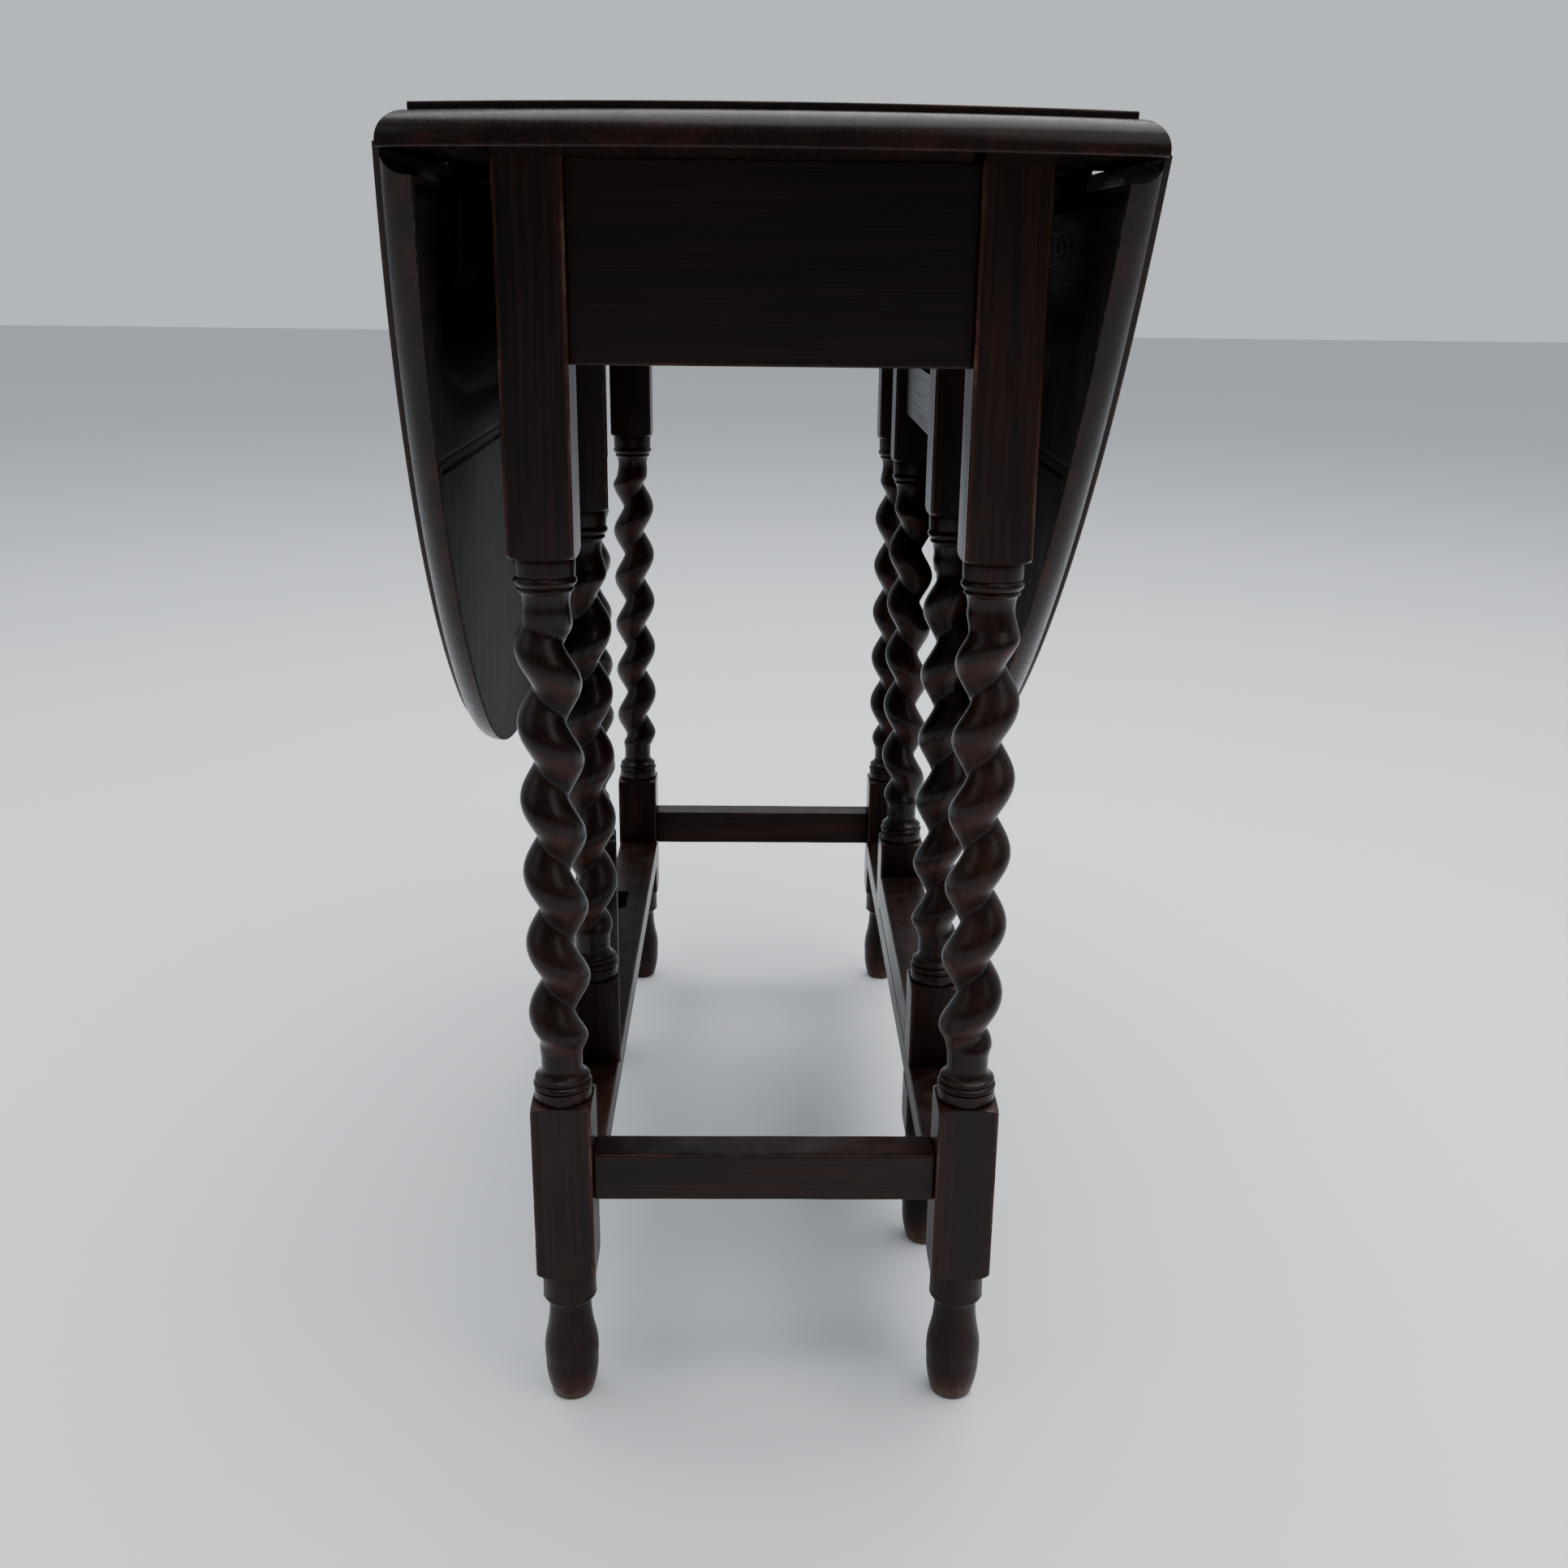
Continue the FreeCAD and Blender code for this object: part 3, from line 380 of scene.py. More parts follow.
def oak(name, grain_axis, place, wear, redness, dust, roughness):
    """Stained oak: grain along one axis, thin stain on marked edges, and a wax coat. On the twisted
    posts the mark also paints light onto each strand's downward flank.
    """
    finish = bpy.context.scene.table_finish
    material, tree, shader = principled(name)
    where = tree.node("ShaderNodeTexCoord").outputs["Object"]
    along = tree.stretched(where, (1.0, 1.0, 1.0), GRAIN_TURNS[grain_axis], place)
    grain = tree.node("ShaderNodeGroup", node_tree=shared("grain"), inputs={"Vector": along})
    # The mark is edge wear, and on the twisted posts it also holds painted light on each strand's
    # downward flank.
    mark = tree.node("ShaderNodeAttribute", attribute_name="wear").outputs["Fac"]
    bare_face = tree.node("ShaderNodeAttribute", attribute_name="back").outputs["Fac"]
    worn_and_lit = tree.node("ShaderNodeGroup", node_tree=shared("wear"),
                     inputs={"Vector": along, "Mark": mark, "Amount": wear})
    settled = tree.node("ShaderNodeGroup", node_tree=shared("dust"),
                        inputs={"Vector": where, "Amount": dust})
    scratched = tree.node("ShaderNodeGroup", node_tree=shared("scratch"),
                          inputs={"Vector": where})
    cloud = tree.noise(tree.stretched(along, (14.0, 14.0, 5.0)), 1.0, 3.0, 0.6)
    reddish = tree.maths("MULTIPLY", tree.ramp(cloud, 0.36, 0.70), redness)
    reddish = tree.maths("ADD", reddish, tree.maths("MULTIPLY", grain.outputs["Streak"], redness))
    reddish = tree.maths("MULTIPLY", reddish, tree.ramp(grain.outputs["Figure"], 0.0, 1.0,
                                                        0.25, 0.9), clamp=True)
    base = tree.mix(reddish, rgba(finish.stain), rgba(finish.red))
    base = tree.mix(tree.maths("MULTIPLY", grain.outputs["Layers"], 0.10), base,
                    rgba(finish.red))
    base = tree.mix(tree.maths("MULTIPLY", worn_and_lit.outputs["Thin"], 0.7), base, rgba(finish.red))
    base = tree.mix(tree.maths("MULTIPLY", worn_and_lit.outputs["Bare"], 0.7), base, rgba(finish.bare))
    back = tree.mix(grain.outputs["Figure"], rgba(finish.stain), rgba(finish.back))
    back = tree.mix(tree.maths("MULTIPLY", scratched.outputs["Mask"], 0.14), back,
                    rgba(finish.dust))
    base = tree.mix(tree.maths("MULTIPLY", bare_face, 0.85), base, back)
    base = tree.mix(tree.maths("MULTIPLY", grain.outputs["Pores"], 0.75), base,
                    rgba(Vector(finish.stain) * 0.35))
    base = tree.mix(settled.outputs["Mask"], base, rgba(finish.dust))
    tree.feed(shader.inputs["Base Color"], base)

    gloss = tree.blend(grain.outputs["Streak"], roughness - 0.05, roughness + 0.08)
    gloss = tree.maths("ADD", gloss, tree.maths("MULTIPLY", tree.ramp(cloud, 0.35, 0.7), 0.08))
    gloss = tree.maths("ADD", gloss, tree.maths("MULTIPLY", settled.outputs["Mask"], 0.3))
    gloss = tree.blend(bare_face, gloss, 0.62)
    tree.feed(shader.inputs["Roughness"], gloss)
    coat = tree.maths("MULTIPLY", tree.maths("SUBTRACT", 1.0, bare_face), finish.polish)
    tree.feed(shader.inputs["Coat Weight"], coat)
    shader.inputs["Coat Roughness"].default_value = 0.2
    shader.inputs["Specular IOR Level"].default_value = 0.11

    hand = tree.noise(tree.stretched(where, (70.0, 70.0, 70.0)), 1.0, 2.0, 0.5)
    height = tree.maths("ADD", tree.maths("MULTIPLY", grain.outputs["Height"], 0.16),
                        tree.maths("MULTIPLY", hand, 0.55))
    height = tree.maths("SUBTRACT", height, tree.maths(
        "MULTIPLY", tree.maths("MULTIPLY", scratched.outputs["Mask"], bare_face), 0.3))
    bump = tree.node("ShaderNodeBump", {"Height": height, "Strength": 0.55,
                                        "Distance": 0.6 * MM})
    tree.feed(shader.inputs["Normal"], bump.outputs["Normal"])
    return material


def metal(name, tone, roughness, rust):
    """Old iron or steel with browned patches."""
    finish = bpy.context.scene.table_finish
    material, tree, shader = principled(name)
    where = tree.node("ShaderNodeTexCoord").outputs["Object"]
    spots = tree.noise(tree.stretched(where, (220.0, 220.0, 220.0)), 1.0, 5.0, 0.65)
    patches = tree.ramp(spots, 0.45, 0.68)
    base = tree.mix(tree.maths("MULTIPLY", patches, rust), rgba(tone), rgba(finish.red))
    tree.feed(shader.inputs["Base Color"], base)
    tree.feed(shader.inputs["Metallic"], tree.blend(tree.maths("MULTIPLY", patches, rust),
                                                    0.95, 0.2))
    tree.feed(shader.inputs["Roughness"], tree.blend(spots, roughness, roughness + 0.2))
    bump = tree.node("ShaderNodeBump", {"Height": spots, "Strength": 0.4, "Distance": 0.2 * MM})
    tree.feed(shader.inputs["Normal"], bump.outputs["Normal"])
    return material


# ------------------------------------------------------------------------------ mesh helpers

def mesh_object(name, vertices, faces, marks=None):
    """A closed mesh with outward faces and its named point attributes."""
    mesh = bpy.data.meshes.new(name)
    mesh.from_pydata([tuple(v) for v in vertices], [], faces)
    for label, values in (marks or {}).items():
        attribute = mesh.attributes.new(label, "FLOAT", "POINT")
        attribute.data.foreach_set("value", np.asarray(values, dtype=np.float32))
    work = bmesh.new()
    work.from_mesh(mesh)
    bmesh.ops.recalc_face_normals(work, faces=work.faces)
    work.to_mesh(mesh)
    work.free()
    made = bpy.data.objects.new(name, mesh)
    bpy.context.scene.collection.objects.link(made)
    return made


def soften(made, angle=32.0):
    """Smooth shading that keeps the edges sharper than an angle."""
    mesh = made.data
    mesh.polygons.foreach_set("use_smooth", [True] * len(mesh.polygons))
    mesh.set_sharp_from_angle(angle=math.radians(angle))


def settled(made):
    """Replace an object's mesh by what its modifiers make of it."""
    depsgraph = bpy.context.evaluated_depsgraph_get()
    baked = bpy.data.meshes.new_from_object(made.evaluated_get(depsgraph))
    made.modifiers.clear()
    old, made.data = made.data, baked
    bpy.data.meshes.remove(old)
    return made


def carve(made, cutters):
    """Take plain boxes, each given by two corners, out of a piece."""
    if not cutters:
        return made
    tools = []
    for low, high in cutters:
        corners = [Vector((x, y, z)) for x in (low[0], high[0]) for y in (low[1], high[1])
                   for z in (low[2], high[2])]
        faces = [(0, 1, 3, 2), (4, 6, 7, 5), (0, 4, 5, 1), (2, 3, 7, 6), (0, 2, 6, 4),
                 (1, 5, 7, 3)]
        tools.append(mesh_object("cutter", corners, faces))
    for tool in tools:
        modifier = made.modifiers.new("carve", "BOOLEAN")
        modifier.operation, modifier.solver, modifier.object = "DIFFERENCE", "EXACT", tool
    settled(made)
    for tool in tools:
        bpy.data.objects.remove(tool)
    return made


def hand_over(made, node, material):
    """Give a piece its material, and let it stand for its CAD node on that node's body."""
    made.data.transform(Matrix.Translation(MIDDLE))
    made.data.materials.clear()
    made.data.materials.append(material)
    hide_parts(node)
    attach(made, BODY_OF[node])


def grid_lines(half, arris, step):
    """Places across one axis: close over the arris, then the worn band, then even steps."""
    rounding = [arris * (1 - math.tan(math.radians(turn))) for turn in (45, 30, 15, 0)]
    band = [arris + extra * MM for extra in (1.2, 3.0, 7.0) if arris + extra * MM < half * 0.8]
    near = rounding + band
    inner = half - near[-1]
    count = max(1, round(2 * inner / step))
    middle = [-inner + 2 * inner * i / count for i in range(1, count)]
    return [-half + place for place in near] + middle + [half - place for place in reversed(near)]


def timber(name, low, high, arris, step=14 * MM, uneven=0.25):
    """A planed length of wood with softened, unevenly worn arrises."""
    low, high = Vector(low), Vector(high)
    centre, half = (low + high) / 2, (high - low) / 2
    arris = min(arris, min(half) * 0.5)
    lines = [grid_lines(half[axis], arris, step) for axis in range(3)]
    index, vertices, wear = {}, [], []

    def corner(i, j, k):
        if (i, j, k) not in index:
            place = Vector((lines[0][i], lines[1][j], lines[2][k]))
            wobble = noise.noise((place + centre) * 38.0)
            radius = arris * (1 + uneven * 1.6 * wobble)
            inner = Vector([max(-half[a] + radius, min(half[a] - radius, place[a]))
                            for a in range(3)])
            away = place - inner
            gaps = sorted(half[a] - abs(place[a]) for a in range(3))
            wear.append(max(0.0, 1 - gaps[1] / (arris + 4 * MM)) ** 1.5)
            index[i, j, k] = len(vertices)
            vertices.append(centre + inner + away.normalized() * radius)
        return index[i, j, k]

    faces = []
    for axis in range(3):
        across, upward = (axis + 1) % 3, (axis + 2) % 3
        for end in (0, len(lines[axis]) - 1):
            for a in range(len(lines[across]) - 1):
                for b in range(len(lines[upward]) - 1):
                    quad = []
                    for da, db in ((0, 0), (1, 0), (1, 1), (0, 1)):
                        key = [0, 0, 0]
                        key[axis], key[across], key[upward] = end, a + da, b + db
                        quad.append(corner(*key))
                    faces.append(quad)
    made = mesh_object(name, vertices, faces, {"wear": wear})
    return made


# ------------------------------------------------------------------------------ turned posts

def curve(start, end, bulge, steps):
    """Points of an outline from start to end, bowed by the bulge. The start is left out."""
    points = []
    chord = Vector((end[0] - start[0], end[1] - start[1]))
    across = Vector((chord.y, -chord.x)).normalized()
    for i in range(1, steps + 1):
        t = i / steps
        bow = bulge * 4 * t * (1 - t)
        points.append((start[0] + chord.x * t + across.x * bow,
                       start[1] + chord.y * t + across.y * bow))
    return points


def mirrored_turning(outline, plane, direction):
    """Stand an outline of (radius, distance from a block) on a block's end plane."""
    placed = [(radius * MM, plane + direction * distance * MM) for radius, distance in outline]
    return placed if direction > 0 else placed[::-1]


def low_turning():
    """Collar, beads and the cove that spreads into the twist, upwards from the low block."""
    outline = [(16.2, 0.0), (16.5, 0.5)] + curve((16.5, 0.5), (16.4, 7.2), 0.15, 4)
    outline += [(15.5, 7.7)] + curve((15.5, 7.7), (15.6, 11.6), 1.5, 7)
    outline += [(15.0, 12.0)] + curve((15.0, 12.0), (14.6, 15.2), 1.25, 6) + [(13.9, 15.7)]
    outline += curve((13.9, 15.7), (12.0, 22.5), -0.9, 6) + curve((12.0, 22.5), (13.2, 34.0),
                                                                 -0.5, 6)
    return outline


def high_turning():
    """Collar, bead, roll and the cove that leads into the twist, downwards from the high block."""
    outline = [(15.9, 0.0), (16.2, 0.5)] + curve((16.2, 0.5), (16.0, 9.6), 0.1, 4)
    outline += [(15.4, 10.0)] + curve((15.4, 10.0), (15.2, 15.4), 1.6, 8)
    outline += [(14.5, 15.9)] + curve((14.5, 15.9), (14.2, 18.6), 0.9, 5) + [(13.7, 19.1)]
    outline += curve((13.7, 19.1), (13.0, 29.5), -0.7, 8) + [(13.1, 36.0)]
    return outline


def foot_turning():
    """Pear foot, neck and ring, from the floor to the low block, in millimetres."""
    outline = [(11.4, 0.0)] + curve((11.4, 0.0), (12.9, 1.8), 0.45, 4)
    outline += curve((12.9, 1.8), (16.2, 25.0), 1.0, 14) + curve((16.2, 25.0), (15.2, 43.0), 0.8,
                                                               10)
    outline += curve((15.2, 43.0), (12.7, 64.0), -0.55, 10) + [(12.8, 66.0)]
    outline += curve((12.8, 66.0), (15.5, 69.6), -0.7, 6) + curve((15.5, 69.6), (16.0, 72.0), 0.5,
                                                                4)
    outline += curve((16.0, 72.0), (15.9, 90.5), 0.12, 6)
    return [(radius * MM, height * MM) for radius, height in outline]


def column_angles():
    """Angles round a post: close over a square's corners, even along its faces."""
    quarter = (0.0, 0.7, 1.4, 2.1, 4.0, 7.5, 12.0, 17.0, 22.5, 28.0, 33.5, 39.0, 45.0)
    half = [-45 + turn for turn in quarter] + [45 - turn for turn in reversed(quarter[:-1])]
    return [math.radians(90 * side + turn) for side in range(4) for turn in half[:-1]]


def square_radius(angle, half, arris):
    """How far a square with rounded corners reaches at an angle, and how near that is to one."""
    turn = abs((angle + math.pi / 4) % (math.pi / 2) - math.pi / 4)
    flat = half / math.cos(turn)
    if half * math.tan(turn) <= half - arris:
        return flat, max(0.0, 1 - (half - arris - half * math.tan(turn)) / (4 * MM))
    reach = Vector((math.cos(turn), math.sin(turn)))
    centre = Vector((half - arris, half - arris))
    along = reach.dot(centre)
    return along + math.sqrt(max(0.0, along ** 2 - centre.length_squared + arris ** 2)), 1.0


def block_levels(low, high, soft_low, soft_high):
    """Heights of a block's rings, each with the radius that its rounded shoulder allows."""
    shape = bpy.context.scene.table_posts
    half = shape.square / 2
    corner, end_radius, rise = half * 1.45, half + 1.3 * MM, 6.5 * MM
    steps = [rise * (i / 14) ** 1.6 for i in range(15)]

    def allowed(distance):
        t = min(1.0, distance / rise)
        return end_radius + (corner - end_radius) * math.sqrt(1 - (1 - t) ** 2)

    levels = [(low + d, allowed(d) if soft_low else corner) for d in steps]
    count = max(2, round((high - low - 2 * rise) / (9 * MM)))
    levels += [(low + rise + (high - low - 2 * rise) * i / count, corner)
               for i in range(1, count)]
    levels += [(high - d, allowed(d) if soft_high else corner) for d in reversed(steps)]
    return levels


def post_mesh(name, low, high, spigots):
    """A closed post about the Z axis, before its shaft is twisted."""
    shape = bpy.context.scene.table_posts
    angles = column_angles()
    half = shape.square / 2
    rings = []

    def ring(z, radii, wear):
        rings.append(([Vector((r * math.cos(a), r * math.sin(a), z))
                       for r, a in zip(radii, angles)], wear))

    def turned_rings(outline, scuffed=0.0):
        for i, (radius, z) in enumerate(outline):
            before, after = outline[max(0, i - 1)], outline[min(len(outline) - 1, i + 1)]
            proud = radius - (before[0] + after[0]) / 2
            mark = min(1.0, max(0.0, proud / (0.35 * MM))) * 0.8 + 0.1
            if z < scuffed:
                mark = max(mark, 1.35 - 0.9 * z / scuffed)
            ring(z, [radius] * len(angles), [mark] * len(angles))

    def block_rings(levels):
        for z, allowed in levels:
            wobble = 1 + 0.35 * noise.noise(Vector((low * 90 + 3.1, z * 60, hash_of(name))))
            pairs = [square_radius(a, half, shape.arris * wobble) for a in angles]
            marks = [max(mark ** 1.5, 0.85 if reach > allowed else 0.0)
                     for reach, mark in pairs]
            ring(z, [min(reach, allowed) for reach, _ in pairs], marks)

    stands = low < shape.low_block_bottom
    if stands:
        turned_rings(foot_turning(), scuffed=28 * MM)
        block_rings(block_levels(shape.low_block_bottom, shape.low_block_top, True, True))
    else:
        turned_rings([(7 * MM - 1 * MM, low - spigots), (7 * MM, low - spigots + 1 * MM),
                      (7 * MM, low)])
        block_rings(block_levels(low, shape.low_block_top, False, True))
    lower = mirrored_turning(low_turning(), shape.low_block_top, 1)
    upper = mirrored_turning(high_turning(), shape.high_block_bottom, -1)
    turned_rings(lower)
    start, finish = lower[-1], upper[0]
    count = round((finish[1] - start[1]) / (1.5 * MM))
    for i in range(1, count):
        t = i / count
        ring(start[1] + (finish[1] - start[1]) * t,
             [start[0] + (finish[0] - start[0]) * t] * len(angles), [0.0] * len(angles))
    turned_rings(upper)
    block_rings(block_levels(shape.high_block_bottom, high, True, False))
    if not stands:
        turned_rings([(7 * MM, high), (7 * MM, high + spigots - 1 * MM),
                      (6 * MM, high + spigots)])
    return close_rings(name, rings)


def hash_of(name):
    """A steady number for a name, to make like pieces differ."""
    return sum((i + 1) * ord(letter) for i, letter in enumerate(name)) % 97 / 7.0


def close_rings(name, rings):
    """Join rings of points, each with its marks, into a closed mesh with flat ends."""
    count = len(rings[0][0])
    vertices = [point for ring, _ in rings for point in ring]
    wear = [mark for _, marks in rings for mark in marks]
    faces = []
    for level in range(len(rings) - 1):
        a, b = level * count, (level + 1) * count
        faces += [(a + i, a + (i + 1) % count, b + (i + 1) % count, b + i) for i in range(count)]
    for level, flip in ((0, True), (len(rings) - 1, False)):
        ring = rings[level][0]
        middle = sum(ring, Vector()) / count
        vertices.append(middle)
        wear.append(0.0)
        hub = len(vertices) - 1
        a = level * count
        faces += [(hub, a + (i + 1) % count, a + i) if flip else (hub, a + i, a + (i + 1) % count)
                  for i in range(count)]
    return mesh_object(name, vertices, faces, {"wear": wear})


def twist_tree():
    """Geometry nodes that swell a turned shaft into one strand that climbs round the axis."""
    number, geometry = "NodeSocketFloat", "NodeSocketGeometry"
    tree, put, end, group = new_group(
        "Barley Twist", "GeometryNodeTree",
        [("Geometry", geometry, None), ("Low", number, 0.2), ("High", number, 0.5),
         ("Fade", number, 0.015), ("Pitch", number, 0.043), ("Hand", number, 1.0),
         ("Phase", number, 0.0), ("Ridge", number, 0.018), ("Valley", number, 0.008),
         ("Roundness", number, 0.5), ("Material", "NodeSocketMaterial", None)],
        [("Geometry", geometry)])
    place = tree.node("GeometryNodeInputPosition").outputs[0]
    parts = tree.node("ShaderNodeSeparateXYZ", {0: place}).outputs
    radius = tree.maths("SQRT", tree.maths("ADD", tree.maths("MULTIPLY", parts["X"], parts["X"]),
                                           tree.maths("MULTIPLY", parts["Y"], parts["Y"])))
    angle = tree.maths("ARCTAN2", parts["Y"], parts["X"])
    climb = tree.maths("DIVIDE", tree.maths("MULTIPLY", parts["Z"], math.tau), put["Pitch"])
    turn = tree.maths("SUBTRACT", angle, tree.maths("MULTIPLY", climb, put["Hand"]))
    turn = tree.maths("SUBTRACT", turn, put["Phase"])
    wave = tree.maths("MULTIPLY_ADD", tree.maths("COSINE", turn), 0.5, 0.5)
    strand = tree.maths("ABSOLUTE", tree.maths("COSINE", tree.maths("MULTIPLY", turn, 0.5)))
    swell = tree.blend(put["Roundness"], wave, strand)
    reach = tree.maths("MULTIPLY_ADD", swell, tree.maths("SUBTRACT", put["Ridge"], put["Valley"]),
                       put["Valley"])
    rising = tree.ramp(parts["Z"], put["Low"], tree.maths("ADD", put["Low"], put["Fade"]))
    falling = tree.ramp(parts["Z"], tree.maths("SUBTRACT", put["High"], put["Fade"]),
                        put["High"], 1.0, 0.0)
    share = tree.maths("MULTIPLY", rising, falling)
    wanted = tree.blend(share, radius, reach)
    factor = tree.maths("SUBTRACT", tree.maths("DIVIDE", wanted,
                                               tree.maths("MAXIMUM", radius, 1e-6)), 1.0)
    shift = tree.node("ShaderNodeCombineXYZ", {"X": tree.maths("MULTIPLY", parts["X"], factor),
                                               "Y": tree.maths("MULTIPLY", parts["Y"], factor),
                                               "Z": 0.0}).outputs[0]
    # Painted light: this marks each strand's downward flank so that it takes the warm thin-stain
    # tone, standing in for the light that reaches it from below. The crest mark added to it is real
    # wear.
    painted_underlight = tree.maths("SINE", tree.maths("MULTIPLY", turn, put["Hand"]))
    painted_underlight = tree.maths("MULTIPLY", tree.ramp(painted_underlight, 0.15, 0.9), 0.72)
    crest = tree.maths("MULTIPLY", tree.maths("POWER", swell, 4.0), 0.35)
    marked = tree.node("GeometryNodeStoreNamedAttribute",
                       {"Geometry": put["Geometry"], "Name": "wear",
                        "Value": tree.maths("ADD", painted_underlight, crest),
                        "Selection": tree.node("FunctionNodeCompare",
                                               {0: share, 1: 0.02}, data_type="FLOAT",
                                               operation="GREATER_THAN").outputs[0]},
                       data_type="FLOAT", domain="POINT")
    moved = tree.node("GeometryNodeSetPosition", {"Geometry": marked.outputs[0], "Offset": shift})
    real = tree.node("GeometryNodeRealizeInstances", {"Geometry": moved.outputs[0]})
    dressed = tree.node("GeometryNodeSetMaterial", {"Geometry": real.outputs[0],
                                                    "Material": put["Material"]})
    tree.feed(end.inputs["Geometry"], dressed.outputs[0])
    return group


def run_nodes(made, group, values):
    """Put a geometry-nodes group on a piece with its inputs, and keep the plain result."""
    modifier = made.modifiers.new("nodes", "NODES")
    modifier.node_group = group
    sockets = {item.name: item.identifier for item in group.interface.items_tree
               if item.in_out == "INPUT"}
    for label, value in values.items():
        modifier[sockets[label]] = value
    return settled(made)


class TABLE_OT_posts(bpy.types.Operator):
    """Turn and twist the legs, gate legs and pivot posts"""
    bl_idname = "table.posts"
    bl_label = "Turned Posts"

    def execute(self, context):
        shape = context.scene.table_posts
        group = twist_tree()
        fade, overlap = 15 * MM, 30 * MM
        for node, (hand, crest, facing) in TWISTS.items():
            low, high = box(node)
            spigots = 14 * MM if node.endswith("pivot_post") else 0.0
            axis = Vector(((low.x + high.x) / 2, (low.y + high.y) / 2, 0))
            if node.startswith("gate"):
                axis = closed_axis(node)
            made = post_mesh(node.replace("gate_", "gate_post_") + "_turned", low.z + spigots,
                             high.z - spigots, spigots)
            material = oak(node + "_oak", "Z", (axis.x * 9, axis.y * 7, hash_of(node)),
                           wear=0.60, redness=0.44, dust=0.08, roughness=0.33)
            start = 0.0 if facing > 0 else math.pi
            phase = start - hand * math.tau * crest * MM / shape.pitch
            run_nodes(made, group, {
                "Low": shape.low_block_top + overlap, "High": shape.high_block_bottom - overlap,
                "Fade": fade, "Pitch": shape.pitch, "Hand": float(hand),
                "Phase": math.fmod(phase, math.tau), "Ridge": shape.ridge,
                "Valley": shape.valley, "Roundness": shape.roundness, "Material": material})
            made.data.transform(Matrix.Translation(axis))
            if node.startswith("gate") and node.endswith("leg"):
                carve(made, leg_laps(node))
            if node.startswith("gate"):
                made.data.transform(gate_turn(node.split("_")[1]))
            soften(made)
            hand_over(made, node, material)
        return {"FINISHED"}


def closed_axis(node):
    """Where a gate's post stands while the gate is closed."""
    shape, side = bpy.context.scene.table_gates, SIDES[node.split("_")[1]]
    along = shape.pivot_y if node.endswith("pivot_post") else -shape.leg_y
    return Vector((side * shape.across, side * along, 0))


def gate_turn(side_name):
    """The turn about its pivots that takes a gate from closed to where it stands."""
    shape = bpy.context.scene.table_gates
    pivot = closed_axis(f"gate_{side_name}_pivot_post")
    swing = shape.left_swing if side_name == "left" else shape.right_swing
    return Matrix.Translation(pivot) @ Matrix.Rotation(swing, 4, "Z") @ Matrix.Translation(-pivot)


def leg_laps(node):
    """The two places where a gate leg is halved to close over the apron and the stretcher."""
    side_name = node.split("_")[1]
    side = SIDES[side_name]
    centre = closed_axis(node)
    middle = centre.x - side * 0.3 * MM
    inner = middle - side * 40 * MM
    laps = []
    for rail, extra in (("apron", 30 * MM), ("stretcher", 1.5 * MM)):
        rail_low, rail_high = box(f"{rail}_{side_name}")
        laps.append(((min(middle, inner), centre.y - 30 * MM, rail_low.z - 1.5 * MM),
                     (max(middle, inner), centre.y + 30 * MM, rail_high.z + extra)))
    return laps


# ------------------------------------------------------------------------------ boards

class Oval:
    """The open top's outline, set out from four centres, at any inset."""

    def __init__(self):
        shape = bpy.context.scene.table_top
        low, high = box("top_board_middle")
        self.half_x, self.half_y = shape.open_width / 2, (high.y - low.y) / 2
        self.end_radius = shape.end_radius
        self.end_centre = self.half_x - self.end_radius
        fall = self.half_y - self.end_radius
        self.side_centre = (self.end_centre ** 2 - fall ** 2) / (2 * fall)
        self.side_radius = self.half_y + self.side_centre
        self.lean = math.atan2(self.end_centre, self.side_centre)

    def reach(self, x, inset):
        """Half of the oval's length at a distance from its middle line."""
        x = abs(x)
        radius = self.end_radius - inset
        if x <= self.end_centre + radius * math.sin(self.lean):
            return math.sqrt((self.side_radius - inset) ** 2 - x ** 2) - self.side_centre
        return math.sqrt(max(0.0, radius ** 2 - (x - self.end_centre) ** 2))

    def round_end(self, x, inset, count):
        """Points round the oval's end from one side at x to the other."""
        side = self.side_radius - inset
        start = math.acos(min(1.0, x / side))
        start = min(start, math.pi / 2)
        points = []
        for i in range(count + 1):
            turn = -start + 2 * start * i / count
            if abs(turn) <= math.pi / 2 - self.lean:
                radius = self.end_radius - inset
                points.append((self.end_centre + radius * math.cos(turn),
                               radius * math.sin(turn)))
            else:
                sign = 1 if turn > 0 else -1
                points.append((side * math.cos(turn),
                               side * math.sin(turn) - sign * self.side_centre))
        return points


def edge_levels(top):
    """Heights of a board's outlines: the low arris, ovolo, cove, fillet and high arris."""
    shape = bpy.context.scene.table_top
    ovolo = top - shape.fillet - shape.pin_rise
    cove = ovolo + shape.clearance
    arris = shape.arris
    levels = [arris * (1 - math.cos(math.radians(turn))) for turn in (0, 30, 60, 90)]
    levels += [shape.pin_rise * 0.6, shape.pin_rise]
    levels += [shape.pin_rise + ovolo * math.sin(math.radians(turn)) for turn in
               (5, 10, 16, 22, 28, 34, 40, 46, 52, 58, 64, 69, 74, 79, 84, 87, 90)]
    start = math.degrees(math.asin(ovolo / cove))
    levels += [shape.pin_rise + cove * math.sin(math.radians(start + (88 - start) * i / 5))
               for i in range(1, 6)]
    levels += [top - arris - 0.3 * MM]
    levels += [top - arris * (1 - math.sin(math.radians(turn))) for turn in (0, 30, 60, 90)]
    return sorted(set(round(level, 7) for level in levels))


def arris_inset(height, top, radius):
    """How far a rounded arris draws an edge in near a board's two faces."""
    near = min(height, top - height)
    if near >= radius:
        return 0.0
    return radius - math.sqrt(max(0.0, radius ** 2 - (radius - near) ** 2))


